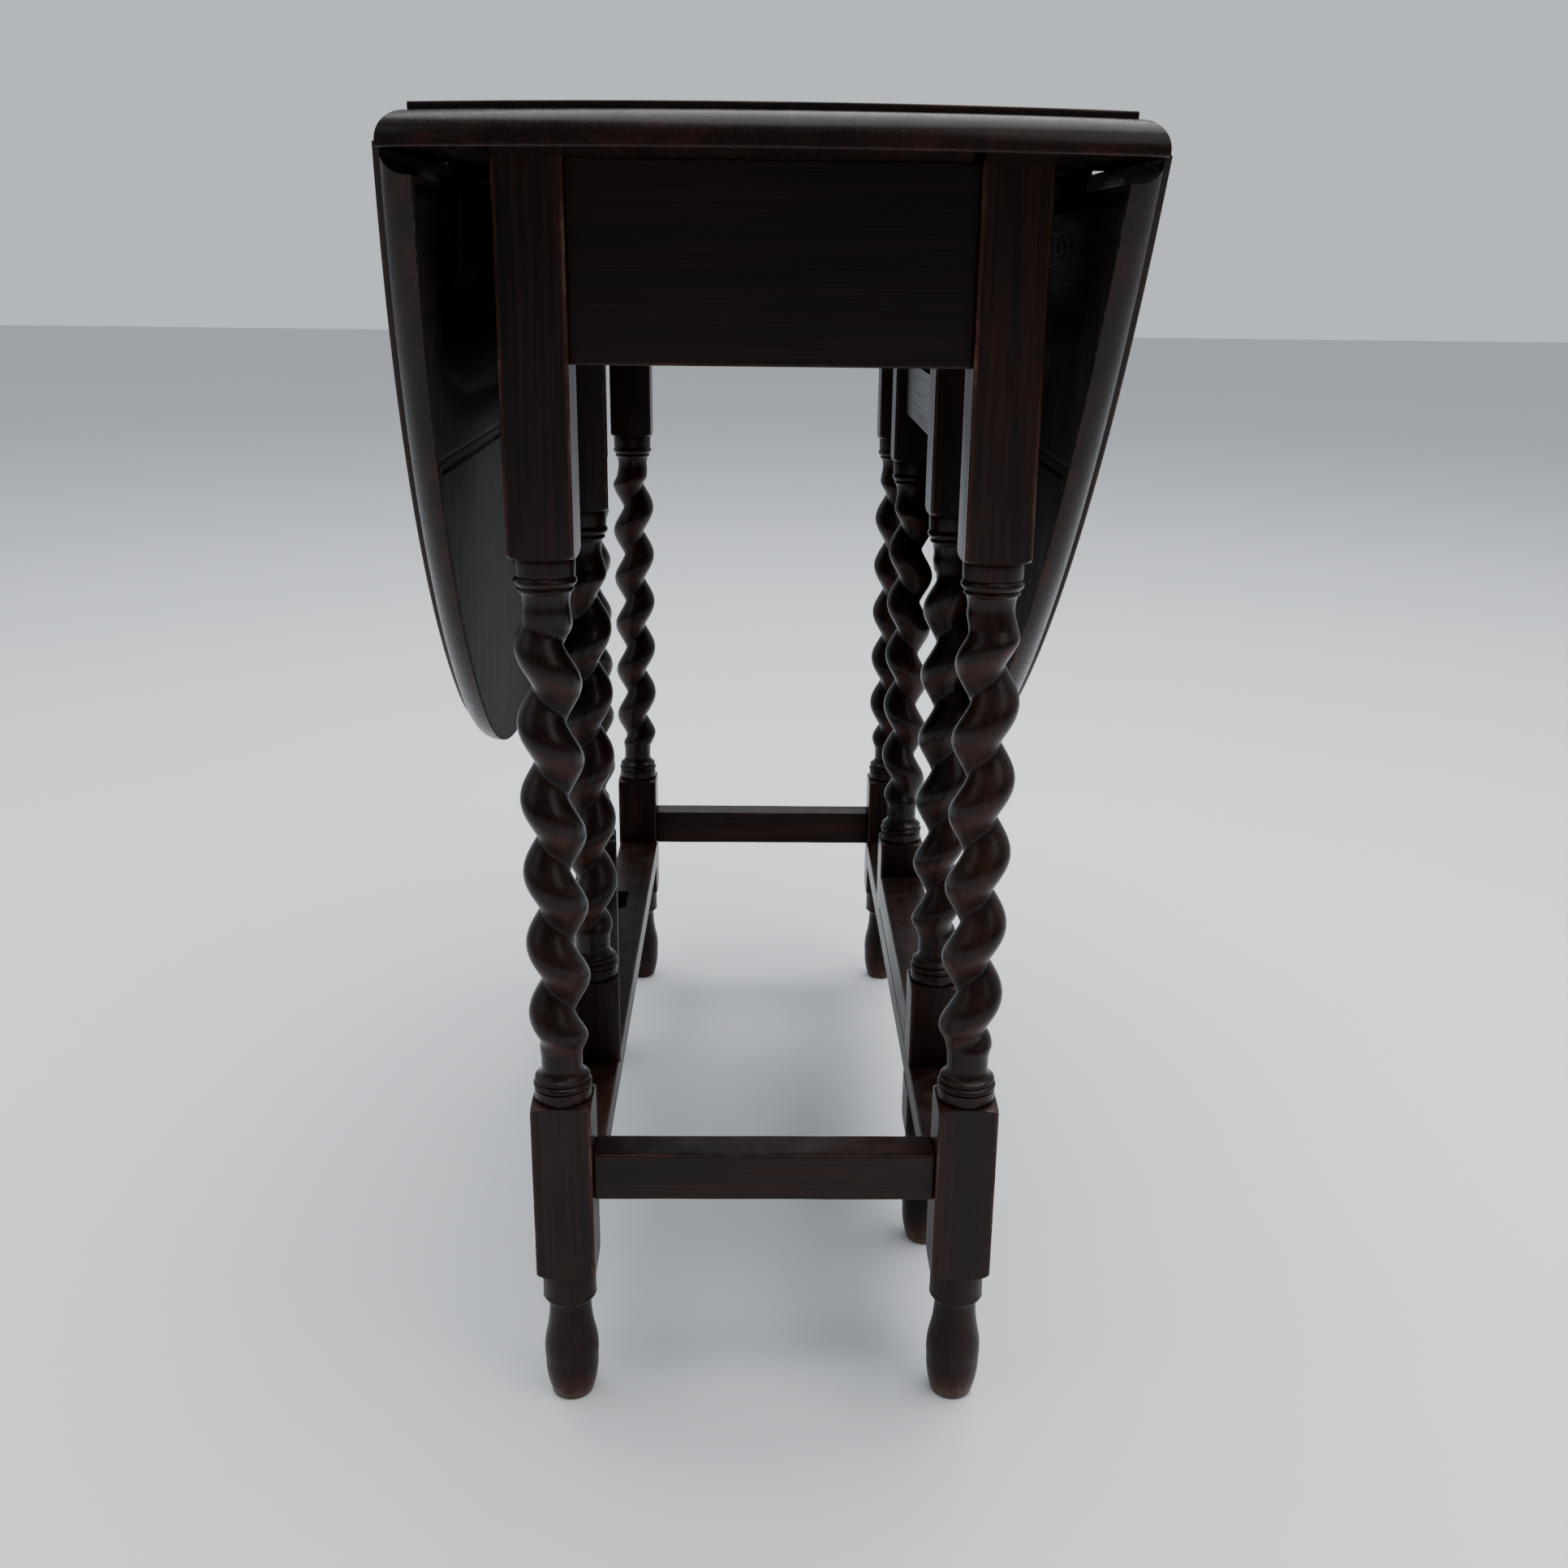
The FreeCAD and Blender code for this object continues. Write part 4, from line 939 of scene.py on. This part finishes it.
def moulding_inset(height, top):
    """How far the ovolo and fillet draw an edge in."""
    shape = bpy.context.scene.table_top
    ovolo = top - shape.fillet - shape.pin_rise
    over = height - shape.pin_rise
    drawn = 0.0 if over <= 0 else ovolo if over >= ovolo - 1e-9 else (
        ovolo - math.sqrt(ovolo ** 2 - over ** 2))
    return drawn + arris_inset(height, top, shape.arris)


def cove_reach(height, top):
    """How far from the hinge line a raised leaf starts."""
    shape = bpy.context.scene.table_top
    cove = top - shape.fillet - shape.pin_rise + shape.clearance
    over = height - shape.pin_rise
    if over <= 0:
        reach = cove
    elif over >= cove * math.sin(math.radians(87.9)):
        reach = shape.lip_gap
    else:
        reach = max(shape.lip_gap, math.sqrt(cove ** 2 - over ** 2))
    return reach + arris_inset(height, top, shape.arris * 0.6)


def board_mesh(name, underside, top, outline_at, back_face=False):
    """A board from its outlines at each height. Returns a closed mesh in the raised position."""
    rings, wear, back = [], [], []
    levels = edge_levels(top)
    shape = bpy.context.scene.table_top
    quirk = top - shape.fillet
    for height in levels:
        outline = outline_at(height)
        rings.append([Vector((x, y, underside + height)) for x, y in outline])
        low_part = height < shape.pin_rise + 3.5 * MM
        at_arris = height > top - 1.2 * MM or height < 1.2 * MM
        near_quirk = abs(height - quirk) < 0.8 * MM
        wear.append(0.9 if at_arris else 0.72 if low_part else 0.15 if near_quirk else 0.34)
        back.append(1.0 if back_face and height < 0.5 * MM else 0.0)
    count = len(rings[0])
    shrink = (2.5 * MM, 8 * MM)
    for position, height, marks in ((0, 0.0, (0.35, 0.0)), (len(rings), top, (0.3, 0.0))):
        outline = [Vector((p.x, p.y)) for p in rings[0 if position == 0 else -1]]
        for inset, mark in zip(shrink, marks):
            ring = [Vector((p.x, p.y, underside + height)) for p in drawn_in(outline, inset)]
            if position == 0:
                rings.insert(0, ring)
                wear.insert(0, mark)
                back.insert(0, 1.0 if back_face else 0.0)
            else:
                rings.append(ring)
                wear.append(mark)
                back.append(0.0)
    vertices = [point for ring in rings for point in ring]
    faces = []
    for level in range(len(rings) - 1):
        a, b = level * count, (level + 1) * count
        faces += [(a + i, a + (i + 1) % count, b + (i + 1) % count, b + i) for i in range(count)]
    last = (len(rings) - 1) * count
    faces.append(tuple(reversed(range(count))))
    faces.append(tuple(range(last, last + count)))
    marks = {"wear": [w for w in wear for _ in range(count)],
             "back": [b for b in back for _ in range(count)]}
    return mesh_object(name, vertices, faces, marks)


def drawn_in(outline, inset):
    """A closed convex outline moved inwards by an inset."""
    count = len(outline)
    area = sum(outline[i].x * outline[(i + 1) % count].y - outline[(i + 1) % count].x
               * outline[i].y for i in range(count))
    sign = 1 if area > 0 else -1
    result = []
    for i, point in enumerate(outline):
        before = point - outline[i - 1]
        after = outline[(i + 1) % count] - point
        normals = [Vector((-edge.y, edge.x)).normalized() * sign for edge in (before, after)
                   if edge.length > 1e-9]
        bisector = sum(normals, Vector((0, 0))).normalized()
        sharp = max(0.35, bisector.dot(normals[0]))
        result.append(point + bisector * inset / sharp)
    return result


def straight(start, end, count):
    """Points from start up to but not including end."""
    return [(start[0] + (end[0] - start[0]) * i / count,
             start[1] + (end[1] - start[1]) * i / count) for i in range(count)]


def across_board(oval, low_x, high_x, inset, steps):
    """A board's outline between two lines along Y, closed by the oval at both ends."""
    points = []
    for i in range(steps):
        x = low_x + (high_x - low_x) * i / steps
        points.append((x, -oval.reach(x, inset)))
    high_end, low_end = oval.reach(high_x, inset), oval.reach(low_x, inset)
    points += straight((high_x, -high_end), (high_x, high_end), 30)
    for i in range(steps):
        x = high_x + (low_x - high_x) * i / steps
        points.append((x, oval.reach(x, inset)))
    points += straight((low_x, low_end), (low_x, -low_end), 30)
    return points


def leaf_turn(side_name, turned):
    """A turn of a leaf about its hinge line, down and in towards the frame."""
    _, _, pin_x, pin_z = top_lines()
    pin = Vector((SIDES[side_name] * pin_x, 0, pin_z))
    turn = Matrix.Rotation(SIDES[side_name] * turned, 4, "Y")
    return Matrix.Translation(pin) @ turn @ Matrix.Translation(-pin)


def lean(side_name):
    """The turn that takes a leaf from hanging straight down to how it hangs."""
    shape = bpy.context.scene.table_top
    return leaf_turn(side_name, -(shape.left_tilt if side_name == "left" else shape.right_tilt))


def top_lines():
    """The top's thickness, underside, and the place of its hinge lines."""
    shape = bpy.context.scene.table_top
    low, _ = box("top_board_left")
    _, high = box("top_board_right")
    thickness = high.z - low.z
    ovolo = thickness - shape.fillet - shape.pin_rise
    return thickness, low.z, high.x - ovolo, low.z + shape.pin_rise


def hinge_room(side_name, centre_side):
    """Boxes for the hinges' plates and knuckles, at rest, in the centre or in a leaf."""
    side = SIDES[side_name]
    _, underside, pin_x, pin_z = top_lines()
    spare = 0.25 * MM
    room = []
    for end_name in ENDS:
        plate = f"hinge_{side_name}_{end_name}_" + ("frame_plate" if centre_side else "leaf_plate")
        low, high = box(plate)
        span = (low.y - spare, high.y + spare)
        if centre_side:
            outer = pin_x + 14.5 * MM
            room.append(((min(low.x, high.x) - spare, span[0], underside - 2 * MM),
                         (max(low.x, high.x) - spare, span[1], underside + 2.5 * MM + spare)))
            room.append(((min(side * pin_x - 3.5 * MM, side * outer), span[0], underside - 2 * MM),
                         (max(side * pin_x + 3.5 * MM, side * outer), span[1],
                          pin_z + 0.4 * MM)))
            room.append(((side * pin_x - 3.5 * MM, span[0], underside - 2 * MM),
                         (side * pin_x + 3.5 * MM, span[1], pin_z + 3.5 * MM)))
        else:
            face = side * (pin_x - 3 * MM)
            deep = face + side * (2.5 * MM + spare)
            room.append(((min(face - side * 2 * MM, deep), span[0], pin_z - LEAF_PLATE - spare),
                         (max(face - side * 2 * MM, deep), span[1], pin_z - 5 * MM)))
    return room


class TABLE_OT_top_boards(bpy.types.Operator):
    """Mould the three boards of the fixed centre"""
    bl_idname = "table.top_boards"
    bl_label = "Centre Boards"

    def execute(self, context):
        oval = Oval()
        thickness, underside, _, _ = top_lines()
        _, right_high = box("top_board_right")
        edge = right_high.x
        left_seam, right_seam = box("top_board_left")[1].x, box("top_board_right")[0].x
        joint = 0.22 * MM
        spans = {"left": (None, left_seam), "middle": (left_seam, right_seam),
                 "right": (right_seam, None)}
        for place, (low_x, high_x) in spans.items():
            def outline(height, low_x=low_x, high_x=high_x):
                drawn = moulding_inset(height, thickness)
                seam = arris_inset(height, thickness, joint) + 0.02 * MM
                start = -(edge - drawn) if low_x is None else low_x + seam
                stop = edge - drawn if high_x is None else high_x - seam
                return across_board(oval, start, stop, drawn, 26)
            node = f"top_board_{place}"
            made = board_mesh(f"centre_{place}_board", underside, thickness, outline)
            if place != "middle":
                carve(made, hinge_room(place, True))
            soften(made)
            material = oak(node + "_oak", "Y", (hash_of(node), 0.7, hash_of(place)),
                           wear=0.50, redness=0.20, dust=0.05, roughness=0.28)
            hand_over(made, node, material)
        return {"FINISHED"}


class TABLE_OT_leaves(bpy.types.Operator):
    """Mould and hang the leaves, each glued from two boards"""
    bl_idname = "table.leaves"
    bl_label = "Leaves"

    def execute(self, context):
        oval = Oval()
        shape = context.scene.table_top
        thickness, underside, pin_x, _ = top_lines()
        seam_x = pin_x + shape.inner_board
        joint = 0.22 * MM

        def inner(height):
            drawn = moulding_inset(height, thickness)
            seam = arris_inset(height, thickness, joint) + 0.02 * MM
            return across_board(oval, pin_x + cove_reach(height, thickness), seam_x - seam,
                                drawn, 26)

        def outer(height):
            drawn = moulding_inset(height, thickness)
            seam = arris_inset(height, thickness, joint) + 0.02 * MM
            points = oval.round_end(seam_x + seam, drawn, 120)
            return points + straight(points[-1], points[0], 30)[1:]

        for side_name, side in SIDES.items():
            for place, outline in (("inner", inner), ("outer", outer)):
                node = f"leaf_{side_name}_{place}_board"
                made = board_mesh(f"leaf_{side_name}_{place}", underside, thickness,
                                  lambda height: [(side * x, side * y)
                                                  for x, y in outline(height)], True)
                made.data.transform(leaf_turn(side_name, math.pi / 2))
                if place == "inner":
                    carve(made, hinge_room(side_name, False))
                made.data.transform(lean(side_name))
                soften(made)
                material = oak(node + "_oak", "Y", (hash_of(node), 0.3, hash_of(place)),
                               wear=0.52, redness=0.26, dust=0.06, roughness=0.28)
                hand_over(made, node, material)
        return {"FINISHED"}


# ------------------------------------------------------------------------------ rails and iron

class TABLE_OT_rails(bpy.types.Operator):
    """Plane the aprons, stretchers and gate rails"""
    bl_idname = "table.rails"
    bl_label = "Rails"

    def execute(self, context):
        post_square = context.scene.table_posts.square
        for place in (*ENDS, *SIDES):
            along = "X" if place in ENDS else "Y"
            for kind in ("apron", "stretcher"):
                node = f"{kind}_{place}"
                low, high = between_posts(node, "leg_front_left", "leg_back_right", along)
                made = timber(f"{node}_rail", low, high,
                              (1.3 if kind == "stretcher" else 1.0) * MM)
                if place in SIDES:
                    carve(made, [rail_notch(place, low, high)])
                self.finish_rail(made, node, along)
        for side_name in SIDES:
            ends = sorted((closed_axis(f"gate_{side_name}_{post}")
                           for post in ("leg", "pivot_post")), key=lambda axis: axis.y)
            for kind, thickness in (("top_rail", context.scene.table_gates.rail),
                                    ("low_rail", post_square)):
                node = f"gate_{side_name}_{kind}"
                low, high = box(node)
                low = Vector((ends[0].x - thickness / 2, ends[0].y + post_square / 2, low.z))
                high = Vector((ends[1].x + thickness / 2, ends[1].y - post_square / 2, high.z))
                made = timber(f"{node}_wood", low, high, 1.2 * MM)
                made.data.transform(gate_turn(side_name))
                self.finish_rail(made, node, "Y")
        return {"FINISHED"}

    def finish_rail(self, made, node, along):
        """Shade a rail, and let it stand for its node."""
        soften(made)
        # Painted shade: the aprons get less red than the other rails, so they come out darker,
        # standing in for the shadow under the top's overhang.
        redness = 0.22 if node.startswith("apron") else 0.55
        material = oak(node + "_oak", along, (hash_of(node), 0.9, 0.4),
                       wear=0.56, redness=redness, dust=0.05, roughness=0.34)
        hand_over(made, node, material)


def between_posts(node, first, second, along):
    """A rail's box without its tenons: from one post's near face to the other's."""
    axis = "XYZ".index(along)
    square = bpy.context.scene.table_posts.square
    low, high = box(node)
    starts = [sum(box(post), Vector())[axis] / 2 for post in (first, second)]
    low[axis], high[axis] = starts[0] + square / 2, starts[1] - square / 2
    return low, high


def rail_notch(side_name, low, high):
    """The half-thickness notch in which a closed gate's leg lies."""
    side = SIDES[side_name]
    middle = (low.x + high.x) / 2 - side * 0.3 * MM
    outer = middle + side * 60 * MM
    spare, square = 1.5 * MM, bpy.context.scene.table_posts.square
    centre = closed_axis(f"gate_{side_name}_leg").y
    return ((min(middle, outer), centre - square / 2 - spare, low.z - 5 * MM),
            (max(middle, outer), centre + square / 2 + spare, high.z + 5 * MM))


class TABLE_OT_glue_blocks(bpy.types.Operator):
    """Shape the blocks under the top"""
    bl_idname = "table.glue_blocks"
    bl_label = "Glue Blocks"

    def execute(self, context):
        for node in [f"glue_block_{end}_{side}" for end in ENDS for side in SIDES]:
            low, high = box(node)
            made = timber(node + "_wood", low, high, 1.6 * MM, 9 * MM)
            soften(made)
            material = oak(node + "_oak", "X", (hash_of(node), 0.2, 0.6),
                           wear=0.5, redness=0.5, dust=0.1, roughness=0.5)
            hand_over(made, node, material)
        return {"FINISHED"}


def screw_mesh():
    """A countersunk screw along Z with its slotted head at the origin, facing down."""
    head, shank, depth, length_ = 3.4 * MM, 1.8 * MM, 1.8 * MM, 11 * MM
    outline = [(0.0, -0.25 * MM)] + [(head * t, -0.25 * MM * (1 - t ** 2))
                                     for t in (0.3, 0.6, 0.85)]
    outline += [(head, 0.0), (head, 0.25 * MM), (shank, depth), (shank, length_),
                (0.0, length_)]
    sides = 24
    vertices, rows, faces = [], [], []
    for radius, height in outline:
        if radius == 0.0:
            rows.append([len(vertices)] * sides)
            vertices.append(Vector((0, 0, height)))
        else:
            rows.append([len(vertices) + i for i in range(sides)])
            vertices += [Vector((radius * math.cos(math.tau * i / sides),
                                 radius * math.sin(math.tau * i / sides), height))
                         for i in range(sides)]
    for low_row, high_row in zip(rows, rows[1:]):
        for i in range(sides):
            j = (i + 1) % sides
            quad = [low_row[i], low_row[j], high_row[j], high_row[i]]
            faces.append(list(dict.fromkeys(quad)))
    made = mesh_object("screw", vertices, faces)
    slot = 0.45 * MM
    return carve(made, [((-head * 1.1, -slot, -1 * MM), (head * 1.1, slot, 0.55 * MM))])


def scatter_tree():
    """Geometry nodes that set a screw at every point, each turned a little differently."""
    number, geometry = "NodeSocketFloat", "NodeSocketGeometry"
    tree, put, end, group = new_group(
        "Screws", "GeometryNodeTree",
        [("Geometry", geometry, None), ("Screw", "NodeSocketObject", None),
         ("Facing", "NodeSocketRotation", None), ("Size", number, 1.0),
         ("Seed", "NodeSocketInt", 0), ("Material", "NodeSocketMaterial", None)],
        [("Geometry", geometry)])
    source = tree.node("GeometryNodeObjectInfo", {"Object": put["Screw"]})
    spin = tree.node("FunctionNodeRandomValue", {"Seed": put["Seed"]}, data_type="FLOAT")
    spin.inputs[2].default_value, spin.inputs[3].default_value = 0.0, math.pi
    turn = tree.node("ShaderNodeCombineXYZ", {"Z": spin.outputs[1]}).outputs[0]
    local = tree.node("FunctionNodeEulerToRotation", {0: turn}).outputs[0]
    both = tree.node("FunctionNodeRotateRotation", {"Rotation": put["Facing"],
                                                    "Rotate By": local}, rotation_space="LOCAL")
    size = tree.node("ShaderNodeCombineXYZ", {"X": put["Size"], "Y": put["Size"],
                                              "Z": put["Size"]}).outputs[0]
    placed = tree.node("GeometryNodeInstanceOnPoints",
                       {"Points": put["Geometry"], "Instance": source.outputs["Geometry"],
                        "Rotation": both.outputs[0], "Scale": size})
    real = tree.node("GeometryNodeRealizeInstances", {"Geometry": placed.outputs[0]})
    dressed = tree.node("GeometryNodeSetMaterial", {"Geometry": real.outputs[0],
                                                    "Material": put["Material"]})
    tree.feed(end.inputs["Geometry"], dressed.outputs[0])
    return group


class TABLE_OT_ironwork(bpy.types.Operator):
    """Finish the hinges and drive the screws"""
    bl_idname = "table.ironwork"
    bl_label = "Ironwork"

    def execute(self, context):
        finish = context.scene.table_finish
        iron = metal("hinge_iron", finish.iron, 0.5, 0.5)
        steel = metal("screw_steel", finish.steel, 0.36, 0.45)
        for node, made in frame["nodes"].items():
            if SLOT_OF[node] == "iron_hinges":
                made.data.materials.clear()
                made.data.materials.append(iron)
        tree = scatter_tree()
        template = screw_mesh()
        for number, (node, (points, facing)) in enumerate(self.places().items()):
            made = mesh_object(node + "_driven", points, [])
            run_nodes(made, tree, {"Screw": template, "Facing": facing, "Size": 1.0,
                                   "Seed": context.scene.table_stage.seed + number,
                                   "Material": steel})
            if node.startswith("leaf"):
                made.data.transform(lean(node.split("_")[1]))
            soften(made)
            hand_over(made, node, steel)
        bpy.data.objects.remove(template)
        return {"FINISHED"}

    def places(self):
        """Where each group's screw heads lie, and the turn that faces them."""
        spacing, pull = 20 * MM, 0.7
        frame_points, leaf_points = [], {side: [] for side in SIDES}
        _, _, pin_x, pin_z = top_lines()
        for side_name, side in SIDES.items():
            for end_name in ENDS:
                name = f"hinge_{side_name}_{end_name}_"
                low, high = box(name + "frame_plate")
                middle = (low.y + high.y) / 2
                frame_points += [Vector((side * (pin_x - FRAME_PLATE * pull),
                                         middle + i * spacing, low.z)) for i in (-1, 0, 1)]
                face = side * (pin_x - 3 * MM)
                leaf_points[side_name] += [Vector((face, middle + i * spacing,
                                                   pin_z - LEAF_PLATE * pull))
                                           for i in (-1, 0, 1)]
        fixing = []
        for end in ENDS:
            for side_name in SIDES:
                low, high = box(f"glue_block_{end}_{side_name}")
                fixing.append(Vector(((low.x + high.x) / 2, (low.y + high.y) / 2, low.z)))
        upward = (0.0, 0.0, 0.0)
        places = {"hinge_frame_screws": (frame_points, upward),
                  "top_fixing_screws": (fixing, upward)}
        for side_name, side in SIDES.items():
            places[f"leaf_{side_name}_screws"] = (leaf_points[side_name],
                                                  (0.0, side * math.pi / 2, 0.0))
        return places


# ------------------------------------------------------------------------------ stage

def area_light(name, place, target, size, power, tone):
    """A square soft light aimed at a point."""
    data = bpy.data.lights.new(name, "AREA")
    data.shape, data.size, data.energy, data.color = "SQUARE", size, power, tone
    lamp = bpy.data.objects.new(name, data)
    lamp.location = place
    lamp.rotation_euler = (Vector(target) - Vector(place)).to_track_quat("-Z", "Y").to_euler()
    bpy.context.scene.collection.objects.link(lamp)


class TABLE_OT_stage(bpy.types.Operator):
    """Set out the floor, the lights and the camera"""
    bl_idname = "table.stage"
    bl_label = "Stage"

    def execute(self, context):
        stage = context.scene.table_stage
        half = stage.floor_size / 2
        corners = [(-half, -half, 0), (half, -half, 0), (half, half, 0), (-half, half, 0)]
        floor = mesh_object("floor", corners, [(0, 1, 2, 3)])
        material, tree, shader = principled("floor_plaster")
        where = tree.node("ShaderNodeTexCoord").outputs["Object"]
        cloud = tree.noise(tree.stretched(where, (3.0, 3.0, 3.0)), 1.0, 4.0, 0.5)
        tone = Vector(stage.floor_tone)
        tree.feed(shader.inputs["Base Color"], tree.mix(cloud, rgba(tone * 0.97), rgba(tone)))
        shader.inputs["Roughness"].default_value = 0.7
        floor.data.materials.append(material)

        middle = (0.0, 0.0, 0.45)
        area_light("overhead", (0.3, 0.2, 3.0), middle, 3.2, 150.0, (0.94, 0.97, 1.0))
        area_light("front_right", (1.9, -1.9, 2.5), middle, 1.6, 17.0, (1.0, 0.99, 0.97))
        area_light("front_left", (-2.4, -1.2, 2.0), middle, 1.6, 9.0, (0.95, 0.97, 1.0))

        world = bpy.data.worlds.new("studio")
        world.use_nodes = True
        background = world.node_tree.nodes["Background"]
        background.inputs["Color"].default_value = rgba(stage.sky_tone)
        sky = Tree(world.node_tree)
        facing = sky.node("ShaderNodeTexCoord").outputs["Generated"]
        depth = sky.node("ShaderNodeSeparateXYZ", {0: facing}).outputs["Y"]
        sky.feed(background.inputs["Strength"],
                 sky.blend(sky.ramp(depth, -0.5, 0.4), stage.sky_front, stage.sky_power))
        context.scene.world = world

        data = bpy.data.cameras.new("camera")
        data.lens, data.sensor_width = stage.lens, 36.0
        camera = bpy.data.objects.new("camera", data)
        camera.matrix_world = (Matrix.Translation(Vector(stage.eye) + MIDDLE)
                               @ Matrix.Rotation(-stage.yaw, 4, "Z")
                               @ Matrix.Rotation(math.pi / 2 - stage.pitch, 4, "X")
                               @ Matrix.Rotation(stage.roll, 4, "Z"))
        context.scene.collection.objects.link(camera)
        context.scene.camera = camera
        return {"FINISHED"}


# ------------------------------------------------------------------------------ add-on

class TABLE_PT_panel(bpy.types.Panel):
    """Lists the table's pieces in the sidebar"""
    bl_label = "Gateleg Table"
    bl_idname = "TABLE_PT_panel"
    bl_space_type = "VIEW_3D"
    bl_region_type = "UI"
    bl_category = "Table"

    def draw(self, context):
        for operator in OPERATORS:
            self.layout.operator(operator.bl_idname)
        for name in SETTINGS:
            group = getattr(context.scene, name)
            box = self.layout.box()
            for key in group.__annotations__:
                box.prop(group, key)


OPERATORS = (TABLE_OT_stage, TABLE_OT_posts, TABLE_OT_top_boards, TABLE_OT_leaves,
             TABLE_OT_rails, TABLE_OT_glue_blocks, TABLE_OT_ironwork)
SETTINGS = {"table_posts": PostShape, "table_top": TopShape, "table_gates": GateShape,
            "table_finish": Finish, "table_stage": StageShape}


def register():
    """Register the classes and hang the settings on the scene."""
    for item in (*SETTINGS.values(), *OPERATORS, TABLE_PT_panel):
        bpy.utils.register_class(item)
    for name, group in SETTINGS.items():
        setattr(bpy.types.Scene, name, PointerProperty(type=group))


def unregister():
    """Undo register."""
    for name in SETTINGS:
        delattr(bpy.types.Scene, name)
    for item in (TABLE_PT_panel, *reversed(OPERATORS), *reversed(tuple(SETTINGS.values()))):
        bpy.utils.unregister_class(item)


def main():
    """Build every piece."""
    register()
    bpy.ops.table.stage()
    bpy.ops.table.posts()
    bpy.ops.table.top_boards()
    bpy.ops.table.leaves()
    bpy.ops.table.rails()
    bpy.ops.table.glue_blocks()
    bpy.ops.table.ironwork()


if __name__ == "__main__":
    main()
